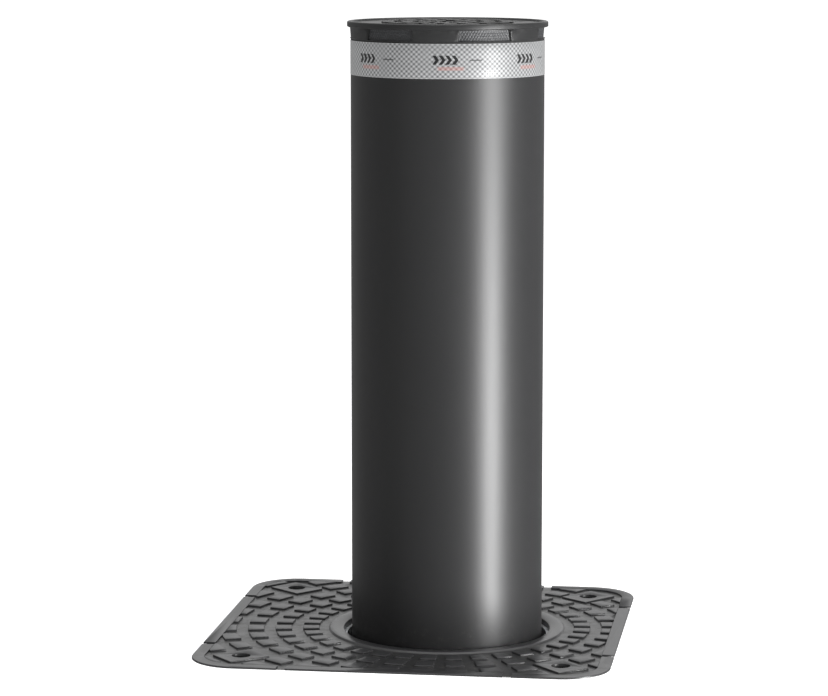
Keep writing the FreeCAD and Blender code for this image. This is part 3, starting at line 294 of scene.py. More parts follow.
def toned(colour: Colour, factor: Number, lift: Number = 0.0) -> Colour:
    """A colour with each channel times a factor, plus a lift, and no more than 1."""
    return tuple(min(1.0, channel * factor + lift) for channel in colour)


# ---------------------------------------------------------------- finishes
class Finish:
    """A finish, which says in nodes() how its material is put together."""

    def make(self, name: str) -> bpy.types.Material:
        """Builds the finish as a material of that name."""
        s = Shader(name)
        return self.nodes(s, s.place())

    def nodes(self, s: Shader, place: Value) -> bpy.types.Material:
        """Adds the finish's nodes.

        Args:
            s: the shader under construction.
            place: the point's place on the piece.

        Returns:
            The material.
        """
        raise NotImplementedError


@dataclass(frozen=True)
class CastIron(Finish):
    """Coated cast iron: sandy grain, walked-on high spots, dust in the low ones.

    Grain, swell, settling and pitting are in waves per metre, and relief is the depth of the
    casting's skin.  The tread, the edges and the settled dust are told apart by height: tread_z
    and dust_z are the heights over which one takes over from the other, and edge_band is the
    reach and softness of the band along the top edges, which only shows outside the collar.
    """

    high: Colour = (0.036, 0.036, 0.038)
    low: Colour = (0.026, 0.026, 0.027)
    dust: Colour = (0.070, 0.066, 0.060)
    grain: float = 620.0
    swell: float = 42.0
    settling: float = 95.0
    pitting: float = 480.0
    relief: float = 0.00014
    tread_z: Span = (-0.0016, -0.0004)
    dust_z: Span = (-0.0019, -0.0009)
    edge_z: float = -0.00028
    edge_band: Span = (0.0002, 0.0001)
    edge_dull: float = 0.22
    collar_r: Span = (0.137, 0.139)

    def nodes(self, s: Shader, place: Value) -> bpy.types.Material:
        """Sand and swell, worn and smoother on the tread, dusty below, duller along its edges.

        Args:
            s: the shader under construction.
            place: the point's place on the piece.

        Returns:
            The material.
        """
        x, y, z = s.axes(place)
        sand = s.noise(place, self.grain, 4.0, 0.65)
        swell = s.noise(place, self.swell, 3.0, 0.55)
        worn = z.step(*self.tread_z) * (swell * 0.6 + 0.5)
        base = s.blend(worn, self.low, self.high)
        speckle = s.noise(place, self.settling, 4.0, 0.7).step(0.48, 0.72)
        settled = (1.0 - z.step(*self.dust_z)) * speckle
        base = s.blend(settled * 0.45, base, self.dust)
        pits = s.cells(place, self.pitting).step(0.0, 0.16)
        height = sand * 0.6 + swell * 0.5 + pits * 0.15
        outside = (x * x + y * y).op("SQRT").step(*self.collar_r)
        edge = z.near(self.edge_z, *self.edge_band) * outside
        rough = 0.27 + sand * 0.12 - worn * 0.03 + settled * 0.12 + edge * self.edge_dull
        return s.finish(base, rough, 0.0, s.bump(height, self.relief, 0.6), Specular_IOR_Level=0.5)


@dataclass(frozen=True)
class PowderCoat(Finish):
    """Baked coating with an orange-peel skin and faint handling marks.

    Peel, cloud, speck, rub, spatter and grain are in waves per metre and depth is the skin's
    relief.  Cast is how much of the casting's own grain shows through, and splash_z is where
    the ground's spatter ends.
    """

    colour: Colour = (0.0125, 0.0125, 0.013)
    roughness: float = 0.35
    peel: float = 300.0
    depth: float = 0.00006
    cast: float = 0.0
    cloud: float = 14.0
    speck: float = 900.0
    rub: float = 420.0
    spatter: float = 160.0
    grain: float = 1400.0
    splash: Colour = (0.10, 0.095, 0.085)
    splash_z: Span = (0.004, 0.045)

    def nodes(self, s: Shader, place: Value) -> bpy.types.Material:
        """Orange peel under slow clouds, with rub marks, and splashes near the ground.

        Args:
            s: the shader under construction.
            place: the point's place on the piece.

        Returns:
            The material.
        """
        z = s.axes(place)[2]
        skin = s.noise(place, self.peel, 2.0, 0.5)
        cloud = s.noise(s.stretched(place, (1.0, 1.0, 0.25)), self.cloud, 3.0, 0.5)
        speck = s.cells(place, self.speck).step(0.02, 0.10)
        base = s.blend(cloud * 0.45, self.colour, toned(self.colour, 1.45, 0.004))
        spatter = s.noise(place, self.spatter, 4.0, 0.7).step(0.5, 0.8)
        splash = (1.0 - z.step(*self.splash_z)) * spatter
        base = s.blend(splash * 0.20, base, self.splash)
        rub = s.noise(s.stretched(place, (1.0, 1.0, 0.03)), self.rub, 2.0, 0.6)
        rough = self.roughness + cloud * 0.05 + rub * 0.03 + splash * 0.12
        height = skin + speck * 0.12 + s.noise(place, self.grain, 2.0, 0.6) * self.cast
        return s.finish(base, rough, 0.0, s.bump(height, self.depth, 0.6), Specular_IOR_Level=0.5)


@dataclass(frozen=True)
class Mark:
    """A bar printed on the tape, in metres.

    Along and up are its middle, half_long and half_tall its half size, and soft how far its
    ends and its edges fade.
    """

    along: float
    half_long: float
    up: float
    half_tall: float
    soft: Span

    def on(self, along: Value, height: Value) -> Value:
        """1 on the bar and 0 off it."""
        ends = along.near(self.along, self.half_long, self.soft[0])
        return ends * height.near(self.up, self.half_tall, self.soft[1])


@dataclass(frozen=True)
class PrismaticFilm(Finish):
    """Retroreflective tape: a bright and dark cell pattern, a glassy face, plain dark bars and a
    painted glow.

    Cell is the width and height of one cell.  The marks repeat round the tape: a row of
    chevrons, a dash and a faint bar below them.  Lean is how far a chevron slants, and
    chevron_bar the half width and softness of one of its bars.
    """

    radius: float
    low: float
    high: float
    cell: Span = (0.00595, 0.0054)
    face: Colour = (0.165, 0.167, 0.169)
    glint: Colour = (0.285, 0.288, 0.291)
    shade: Colour = (0.062, 0.063, 0.065)
    ink: Colour = (0.006, 0.006, 0.0065)
    tint: Colour = (0.30, 0.10, 0.08)
    repeat: float = 0.1022
    shift: float = 0.0088
    row: Mark = Mark(0.0205, 0.0140, 0.0015, 0.0049, (0.0003, 0.0003))
    dash: Mark = Mark(0.0545, 0.0070, 0.0012, 0.0007, (0.0004, 0.0003))
    under: Mark = Mark(0.0265, 0.0130, -0.0080, 0.0014, (0.0030, 0.0012))
    chevron_start: float = 0.0079
    chevron_pitch: float = 0.0072
    chevron_bar: Span = (0.0018, 0.0004)
    lean: float = 0.75
    edge: float = 0.0009
    relief: float = 0.00008
    # painted glow: how strongly the film glows with its own colour
    painted_glow: float = 0.62

    def nodes(self, s: Shader, place: Value) -> bpy.types.Material:
        """Cells whose contrast comes and goes in random patches, a painted sheen for how the cells
        catch the light, with the marks printed over them.

        A place is unrolled to arc length and height first.  The film glows by a share of its own
        colour, a painted glow that stands in for the light its cells send straight back.

        Args:
            s: the shader under construction.
            place: the point's place on the piece.

        Returns:
            The material.
        """
        x, y, z = s.axes(place)
        arc = x.op("ARCTAN2", y * -1.0) * self.radius
        unrolled = s.node("ShaderNodeCombineXYZ", None, arc, z, 0.0).out()
        height = z - (self.low + self.high) / 2
        half = (self.high - self.low) / 2
        # painted sheen: random patches fade the cells' contrast, standing in for how the cells
        # catch the light
        patch = s.noise(s.stretched(unrolled, (1.0, 0.3, 1.0)), 26.0, 2.0, 0.5).step(0.30, 0.50)
        cells = self.cells(arc, z)
        rim = height.op("ABSOLUTE").step(half - self.edge, half)
        bright = cells.step(0.15, 0.75) * (patch * 0.8 + 0.2)
        dark = (cells * -1.0).step(0.25, 0.85) * (patch * 0.85 + 0.15)
        base = s.blend(bright, self.face, self.glint)
        base = s.blend(dark, base, self.shade)
        base = s.blend(rim * 0.6, base, self.glint)
        along = (arc + self.shift).wrapped(self.repeat)
        marks = self.chevrons(along, height)
        dashes = self.dash.on(along, height)
        base = s.blend(self.under.on(along, height) * 0.35, base, self.tint)
        base = s.blend(marks, base, self.ink)
        base = s.blend(dashes * 0.7, base, self.ink)
        metal = 0.16 - marks.op("MAXIMUM", dashes) * 0.16
        streak = s.noise(s.stretched(unrolled, (1.0, 0.02, 1.0)), 300.0, 2.0, 0.6)
        rough = 0.36 + streak * 0.16 + dark * 0.08
        normal = s.bump(cells * 0.5 + 0.5, self.relief, 0.4)
        # painted glow: emission of the film's own colour stands in for the light it sends straight
        # back
        return s.finish(base, rough, metal, normal, Coat_Weight=0.12, Coat_Roughness=0.2,
                        Emission_Color=base, Emission_Strength=self.painted_glow)

    def cells(self, arc: Value, z: Value) -> Value:
        """Cosine round the tape times cosine up it: 1 at a cell, -1 between cells."""
        wide, tall = self.cell
        return (arc * (TURN / wide)).op("COSINE") * (z * (TURN / tall)).op("COSINE")

    def chevrons(self, along: Value, height: Value) -> Value:
        """Four slanted bars in a row, the generic mark of the tape.

        Args:
            along: place along the repeat.
            height: height above the tape's middle.

        Returns:
            1 on a bar and 0 off it.
        """
        slanted = along + (height - self.row.up).op("ABSOLUTE") * self.lean
        phase = (slanted - self.chevron_start).wrapped(self.chevron_pitch)
        return phase.near(self.chevron_pitch / 2, *self.chevron_bar) * self.row.on(along, height)


@dataclass(frozen=True)
class Galvanised(Finish):
    """Hot-dip zinc: frosted spangle, runs and dull patches.

    Spangle is in flakes per metre; swirl and patch are in waves per metre.  Stir is how far
    the flakes' borders wander, and relief how deep they lie.
    """

    colour: Colour = (0.50, 0.515, 0.53)
    spangle: float = 85.0
    dulled: Colour = (0.55, 0.56, 0.56)
    swirl: float = 60.0
    patch: float = 9.0
    stir: float = 0.006
    relief: float = 0.00008

    def nodes(self, s: Shader, place: Value) -> bpy.types.Material:
        """Cells stirred by slow noise, each of its own grey, under dull patches.

        Args:
            s: the shader under construction.
            place: the point's place on the piece.

        Returns:
            The material.
        """
        stirring = s.node("ShaderNodeTexNoise", None, Vector=place, Scale=self.swirl, Detail=2.0)
        stirred = s.stretched(stirring.out("Color"), (self.stir,) * 3)
        warped = s.node("ShaderNodeVectorMath", {"operation": "ADD"}, place, stirred).out()
        flake = s.cells(warped, self.spangle, output="Color")
        shade = s.node("ShaderNodeSeparateXYZ", None, flake).out("X")
        dull = s.noise(place, self.patch, 4.0, 0.6).step(0.42, 0.68)
        base = s.blend(shade, toned(self.colour, 0.78), toned(self.colour, 1.22))
        base = s.blend(dull * 0.5, base, self.dulled)
        rough = 0.34 + shade * 0.14 + dull * 0.18
        borders = s.cells(warped, self.spangle, "DISTANCE_TO_EDGE").step(0.0, 0.08)
        height = borders + s.noise(place, 240.0) * 0.5
        return s.finish(base, rough, 0.95 - dull * 0.3, s.bump(height, self.relief, 0.5))


class Lay(Enum):
    """How a machined or rolled surface is grained, as the stretch of its marks."""

    TURNED = (0.03, 0.03, 1.0)
    DRAWN = (1.0, 1.0, 0.02)
    BLASTED = (1.0, 1.0, 1.0)


@dataclass(frozen=True)
class BareMetal(Finish):
    """Machined, drawn or blasted metal with tool marks and a little grime.

    Marks and cloud are in waves per metre, and relief is the marks' depth.
    """

    colour: Colour = (0.56, 0.56, 0.57)
    roughness: float = 0.28
    lay: Lay = Lay.TURNED
    grime: float = 0.3
    marks: float = 2600.0
    cloud: float = 55.0
    relief: float = 0.00004

    def nodes(self, s: Shader, place: Value) -> bpy.types.Material:
        """Tool marks along the lay, with grime in slow clouds.

        Args:
            s: the shader under construction.
            place: the point's place on the piece.

        Returns:
            The material.
        """
        marks = s.noise(s.stretched(place, self.lay.value), self.marks, 3.0, 0.6)
        dirt = s.noise(place, self.cloud, 4.0, 0.6).step(0.5, 0.75) * self.grime
        base = s.blend(marks, toned(self.colour, 0.86), toned(self.colour, 1.1))
        base = s.blend(dirt, base, toned(self.colour, 0.35))
        rough = self.roughness + marks * 0.10 + dirt * 0.35
        return s.finish(base, rough, 1.0 - dirt * 0.5, s.bump(marks, self.relief, 0.4))


@dataclass(frozen=True)
class Enamel(Finish):
    """Brushed or sprayed paint over metal, with chips where it is handled.

    Peel, cloud and chipping are in waves per metre, and relief is the paint's depth.
    """

    colour: Colour
    roughness: float = 0.34
    chips: float = 0.48
    bared: Colour = (0.22, 0.21, 0.20)
    peel: float = 380.0
    cloud: float = 30.0
    chipping: float = 210.0
    relief: float = 0.00008

    def nodes(self, s: Shader, place: Value) -> bpy.types.Material:
        """Paint skin with slow clouds, chipped to the metal where the noise is highest.

        Args:
            s: the shader under construction.
            place: the point's place on the piece.

        Returns:
            The material.
        """
        skin = s.noise(place, self.peel, 3.0, 0.55)
        cloud = s.noise(place, self.cloud, 3.0, 0.5)
        chip = s.noise(place, self.chipping, 5.0, 0.7).step(0.70, 0.74) * self.chips
        base = s.blend(cloud, toned(self.colour, 0.85), toned(self.colour, 1.12))
        base = s.blend(chip, base, self.bared)
        rough = self.roughness + skin * 0.10 + chip * 0.2
        height = skin * 0.6 - chip * 0.6
        return s.finish(base, rough, chip * 0.6, s.bump(height, self.relief, 0.5))


@dataclass(frozen=True)
class Rubber(Finish):
    """Moulded rubber with fine grain and a pale bloom, both in waves per metre."""

    colour: Colour = (0.018, 0.018, 0.018)
    roughness: float = 0.72
    grain: float = 1500.0
    bloom: float = 70.0
    relief: float = 0.00006

    def nodes(self, s: Shader, place: Value) -> bpy.types.Material:
        """Fine grain with a bloom in patches.

        Args:
            s: the shader under construction.
            place: the point's place on the piece.

        Returns:
            The material.
        """
        grain = s.noise(place, self.grain, 2.0, 0.6)
        bloom = s.noise(place, self.bloom, 4.0, 0.65).step(0.45, 0.8)
        base = s.blend(bloom * 0.4, self.colour, toned(self.colour, 2.2, 0.01))
        rough = self.roughness + grain * 0.12
        return s.finish(base, rough, 0.0, s.bump(grain + bloom * 0.3, self.relief, 0.6))


@dataclass(frozen=True)
class MouldedPlastic(Finish):
    """Textured engineering plastic; texture, flow and scuffs are in waves per metre."""

    colour: Colour
    roughness: float = 0.48
    texture: float = 900.0
    flow: float = 36.0
    scuffs: float = 300.0
    relief: float = 0.00005

    def nodes(self, s: Shader, place: Value) -> bpy.types.Material:
        """Spark-eroded texture over faint flow lines, with scuffs.

        Args:
            s: the shader under construction.
            place: the point's place on the piece.

        Returns:
            The material.
        """
        spark = s.noise(place, self.texture, 3.0, 0.6)
        flow = s.noise(s.stretched(place, (1.0, 1.0, 0.3)), self.flow, 3.0, 0.5)
        base = s.blend(flow, toned(self.colour, 0.92), toned(self.colour, 1.06))
        streaks = s.noise(s.stretched(place, (1.0, 0.1, 1.0)), self.scuffs, 4.0, 0.7)
        scuff = streaks.step(0.62, 0.75)
        rough = self.roughness + spark * 0.08 + scuff * 0.08
        return s.finish(base, rough, 0.0, s.bump(spark, self.relief, 0.6))


@dataclass(frozen=True)
class SmokedLens(Finish):
    """Smoked polycarbonate over a prismatic back; depths and haze are in waves per metre."""

    colour: Colour = (0.030, 0.031, 0.033)
    depths: float = 130.0
    haze: float = 420.0
    relief: float = 0.00002

    def nodes(self, s: Shader, place: Value) -> bpy.types.Material:
        """Darker and lighter depths under a light haze.

        Args:
            s: the shader under construction.
            place: the point's place on the piece.

        Returns:
            The material.
        """
        depth = s.noise(place, self.depths, 2.0, 0.5)
        haze = s.noise(place, self.haze, 3.0, 0.6)
        base = s.blend(depth, toned(self.colour, 0.7), toned(self.colour, 1.5))
        return s.finish(base, 0.42 + haze * 0.10, 0.0, s.bump(haze, self.relief, 0.3),
                        Coat_Weight=0.10, Coat_Roughness=0.3, Specular_IOR_Level=0.5)


@dataclass(frozen=True)
class CircuitBoard(Finish):
    """Green solder mask with tracks, and pale chips that stand proud of it."""

    chip_radius: float
    mask: Colour = (0.012, 0.085, 0.035)
    track: Colour = (0.030, 0.17, 0.07)
    chip: Colour = (0.85, 0.72, 0.30)
    pitch: Span = (0.0021, 0.0026)
    relief: float = 0.00005

    def nodes(self, s: Shader, place: Value) -> bpy.types.Material:
        """Tracks both ways where a noise lets them, and chips outside the chip radius.

        Args:
            s: the shader under construction.
            place: the point's place on the piece.

        Returns:
            The material.
        """
        x, y, z = s.axes(place)
        radius = (x * x + y * y).op("SQRT")
        arc = x.op("ARCTAN2", y * -1.0) * self.chip_radius
        upright = (arc / self.pitch[0]).wrapped(1.0).near(0.5, 0.16, 0.06)
        level = (z / self.pitch[1]).wrapped(1.0).near(0.5, 0.1, 0.05)
        tracks = upright.op("MAXIMUM", level) * s.noise(place, 260.0, 1.0).step(0.45, 0.5)
        base = s.blend(tracks, self.mask, self.track)
        base = s.blend(radius.step(self.chip_radius, self.chip_radius + 0.0002), base, self.chip)
        rough = 0.36 + s.noise(place, 700.0) * 0.1
        return s.finish(base, rough, 0.0, s.bump(tracks, self.relief, 0.6))


@dataclass(frozen=True)
class StudioFloor(Finish):
    """Pale paper sweep."""

    colour: Colour = (0.86, 0.86, 0.86)
    glow: float = 0.62

    def nodes(self, s: Shader, place: Value) -> bpy.types.Material:
        """Paper fibre, nearly even.

        Args:
            s: the shader under construction.
            place: the point's place on the floor.

        Returns:
            The material.
        """
        fibre = s.noise(place, 30.0, 4.0, 0.6)
        base = s.blend(fibre, toned(self.colour, 0.985), self.colour)
        return s.finish(base, 0.85, 0.0, None, Emission_Color=(1.0, 1.0, 1.0),
                        Emission_Strength=self.glow, Specular_IOR_Level=0.0)


# ---------------------------------------------------------------- surfaces
def surface(name: str, points: np.ndarray, wrap_u: bool = False, wrap_v: bool = False,
            caps: bool = False, smooth: bool = True) -> bpy.types.Object:
    """Mesh of a grid of points: u runs along the first axis and v along the second.

    Args:
        name: the piece's name.
        points: array of shape (u, v, 3), in metres.
        wrap_u: whether the last row joins the first.
        wrap_v: whether the last column joins the first.
        caps: whether the first and last rows, each a closed loop, are filled.
        smooth: whether the faces are shaded smooth.

    Returns:
        The object, at the origin.
    """
    nu, nv = points.shape[:2]
    faces = grid_faces(nu, nv, wrap_u, wrap_v).tolist()
    if caps:
        faces.append(list(range(nv))[::-1])
        faces.append([(nu - 1) * nv + k for k in range(nv)])
    return mesh_object(name, points.reshape(-1, 3), faces, smooth)


def grid_faces(nu: int, nv: int, wrap_u: bool = False, wrap_v: bool = False) -> np.ndarray:
    """Quads of a grid whose point (u, v) has the number u nv + v.

    Args:
        nu: points along the first axis.
        nv: points along the second axis.
        wrap_u: whether the last row joins the first.
        wrap_v: whether the last column joins the first.

    Returns:
        Array of shape (faces, 4).
    """
    iu = np.arange(nu if wrap_u else nu - 1)
    iv = np.arange(nv if wrap_v else nv - 1)
    u, v = np.meshgrid(iu, iv, indexing="ij")
    u1, v1 = (u + 1) % nu, (v + 1) % nv
    quads = np.stack([u * nv + v, u1 * nv + v, u1 * nv + v1, u * nv + v1], axis=-1)
    return quads.reshape(-1, 4)


def mesh_object(name: str, points: np.ndarray, faces: list[list[int]],
                smooth: bool = True) -> bpy.types.Object:
    """Object of points and faces, its doubles merged and its normals turned outwards.

    Args:
        name: the piece's name.
        points: array of shape (points, 3), in metres.
        faces: point numbers of each face.
        smooth: whether the faces are shaded smooth.

    Returns:
        The object, at the origin.
    """
    mesh = bpy.data.meshes.new(name)
    mesh.from_pydata(points.tolist(), [], faces)
    mesh.validate()
    welded(mesh, 1e-7, outwards=True)
    mesh.polygons.foreach_set("use_smooth", np.full(len(mesh.polygons), smooth))
    return placed(name, mesh)


def welded(mesh: bpy.types.Mesh, reach: Number, outwards: bool) -> None:
    """Merges a mesh's doubles.

    Args:
        mesh: the mesh.
        reach: how close two points are one, in metres.
        outwards: whether the faces are turned outwards as well.
    """
    work = bmesh.new()
    work.from_mesh(mesh)
    bmesh.ops.remove_doubles(work, verts=work.verts, dist=reach)
    if outwards:
        bmesh.ops.recalc_face_normals(work, faces=work.faces)
    work.to_mesh(mesh)
    work.free()


def placed(name: str, data: Any) -> bpy.types.Object:
    """A new object of that data in the scene, at the origin."""
    made = bpy.data.objects.new(name, data)
    bpy.context.scene.collection.objects.link(made)
    return made


def merged(name: str, points: list[np.ndarray], faces: list[np.ndarray],
           smooth: bool) -> bpy.types.Object:
    """One object from several closed shells.

    Args:
        name: the piece's name.
        points: each shell's points.
        faces: each shell's faces, numbered from its own first point.
        smooth: whether the faces are shaded smooth.

    Returns:
        The object, at the origin.
    """
    starts = np.cumsum([0] + [len(shell) for shell in points[:-1]])
    joined = np.concatenate([shell + start for shell, start in zip(faces, starts)])
    return mesh_object(name, np.concatenate(points), joined.tolist(), smooth)


def sharpened(piece: bpy.types.Object, degrees: Number) -> bpy.types.Object:
    """Marks edges sharper than an angle, so that smooth shading keeps them crisp."""
    piece.data.set_sharp_from_angle(angle=math.radians(degrees))
    return piece


def corners(node: str) -> tuple[np.ndarray, np.ndarray]:
    """Lowest and highest corner of a frame node, in metres."""
    low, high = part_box(node)
    return np.array(low), np.array(high)


def circle(radius: Number, count: int) -> np.ndarray:
    """Points of a circle, as an array of shape (count, 2)."""
    a = np.linspace(0, TURN, count, endpoint=False)
    return np.stack([radius * np.cos(a), radius * np.sin(a)], axis=1)


def unit(vectors: np.ndarray) -> np.ndarray:
    """Each vector over its own length."""
    return vectors / np.linalg.norm(vectors, axis=1, keepdims=True)


def eased(share: np.ndarray) -> np.ndarray:
    """Smooth step of a share: 3 of its square less 2 of its cube."""
    return share * share * (3 - 2 * share)


# ---------------------------------------------------------------- sub-assemblies
class Assembly:
    """What every sub-assembly shares: it dresses frame nodes and adds pieces."""

    body = "pit_unit"
    materials: dict[str, bpy.types.Material] = {}

    def material(self, finish: Finish, name: str) -> bpy.types.Material:
        """The finish as a material, made once for each name."""
        if name not in self.materials:
            self.materials[name] = finish.make(name)
        return self.materials[name]

    def dress(self, nodes: str, finish: Finish, name: str) -> None:
        """Gives frame nodes a finish.

        Args:
            nodes: names with spaces between.
            finish: the finish.
            name: the material's name.
        """
        material = self.material(finish, name)
        for node_name in nodes.split():
            for slot in frame["nodes"][node_name].material_slots:
                slot.material = material
            log.info("dressed %s with %s", node_name, material.name)

    def add(self, piece: bpy.types.Object, node: str, slot: str, finish: Finish, name: str,
            body: str | None = None) -> bpy.types.Object:
        """Puts a new piece in place of a frame node.

        Args:
            piece: the new object.
            node: the node that it stands for.
            slot: the record's material slot; not used.
            finish: the finish.
            name: the material's name.
            body: the body that it rides on, if not the sub-assembly's own.

        Returns:
            The piece.
        """
        piece.data.materials.clear()
        piece.data.materials.append(self.material(finish, name))
        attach(piece, body or self.body)
        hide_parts(node)
        log.info("built %s for %s: %d faces", piece.name, node, len(piece.data.polygons))
        return piece

    def softened(self, node: str, name: str, edge: Number) -> bpy.types.Object:
        """A node's copy with every sharp edge rounded by a small bevel.

        Args:
            node: the frame node.
            name: the copy's name.
            edge: the bevel's width, in metres.

        Returns:
            The copy, with its bevel as a modifier.
        """
        mesh = frame["nodes"][node].data.copy()
        mesh.name = name
        welded(mesh, 2e-6, outwards=False)
        made = placed(name, mesh)
        bevel = made.modifiers.new("edges", "BEVEL")
        bevel.width = edge
        bevel.segments = 2
        bevel.limit_method = "ANGLE"
        bevel.angle_limit = math.radians(25)
        bevel.use_clamp_overlap = False
        bevel.harden_normals = True
        mesh.polygons.foreach_set("use_smooth", np.full(len(mesh.polygons), True))
        if mesh.has_custom_normals:
            mesh.normals_split_custom_set([(0.0, 0.0, 0.0)] * len(mesh.loops))
        return sharpened(made, 30)

    def build(self) -> None:
        """Builds and dresses the sub-assembly."""
        raise NotImplementedError


@dataclass
class TreadPlate(Assembly):
    """Cast cover at ground level and its screws."""

    edge: float = 0.2 * MM

    def build(self) -> None:
        """Softens the casting's edges and dresses it."""
        casting = self.softened("tread_plate", "tread_plate_casting", self.edge)
        self.add(casting, "tread_plate", "tread_iron", CastIron(), "cast_iron")
        # the screws are dark steel, darkened further as painted shade so that their holes read
        # black
        dark_and_hole_shade = BareMetal((0.018, 0.018, 0.019), 0.6, Lay.BLASTED, 0.6)
        self.dress("plate_screws", dark_and_hole_shade, "screw_dark_and_painted_hole_shade")


@dataclass
class Post(Assembly):
    """The coated tube and its reflective film.

    Film_round is how far the film's edges are cut back and down.  Its end laps over its start
    by lap, and falls by lap_drop over lap_step.
    """

    body = "post"
    film_columns: int = 240
    film_thick: float = 0.35 * MM
    film_round: Span = (0.08 * MM, 0.1 * MM)
    lap: float = 12 * MM
    lap_step: float = 0.8 * MM
    lap_drop: float = 0.12 * MM

    def build(self) -> None:
        """Dresses the tube and lays the film."""
        self.dress("lift_tube", PowderCoat(), "satin_powder_coat")
        low, high = corners("reflective_band")
        radius, z0, z1 = float(high[0]), float(low[2]), float(high[2])
        self.add(self.film(radius, z0, z1), "reflective_band", "reflector",
                 PrismaticFilm(radius, z0, z1), "prismatic_film")
        self.dress("head_gasket", Rubber(), "gasket_rubber")
        self.dress("lower_guide_flange", Galvanised(), "galvanised_flange")
        self.dress("lower_wear_ring", MouldedPlastic((0.55, 0.54, 0.50), 0.40), "wear_plastic")

    def film(self, radius: float, low: float, high: float) -> bpy.types.Object:
        """Tape wound once round with a short lap at the back.

        The outside is at radius - drop (1 - s), where s falls smoothly from 1 to 0 at the end
        of the lap; its upper and lower edges are cut off at a slant.

        Args:
            radius: the tape's outside, in metres.
            low: its lower edge.
            high: its upper edge.

        Returns:
            The tape.
        """
        thick, (cut_in, cut_up), height = self.film_thick, self.film_round, high - low
        turned_by = np.linspace(0, TURN, self.film_columns, endpoint=False)
        a = turned_by + math.pi / 2
        profile = np.array([[-thick, 0.0], [-cut_in, 0.0], [0.0, cut_up], [0.0, height / 3],
                            [0.0, 2 * height / 3], [0.0, height - cut_up], [-cut_in, height],
                            [-thick, height]])
        step = np.clip((self.lap - turned_by * radius) / self.lap_step + 0.5, 0, 1)
        drop = self.lap_drop * (1 - eased(step))
        r = radius + profile[None, :, 0] - drop[:, None] * (profile[None, :, 0] > -thick / 2)
        points = np.stack([r * np.cos(a)[:, None], r * np.sin(a)[:, None],
                           np.broadcast_to(low + profile[None, :, 1], r.shape)], axis=-1)
        return sharpened(surface("reflective_tape", points, wrap_u=True, wrap_v=True), 40)


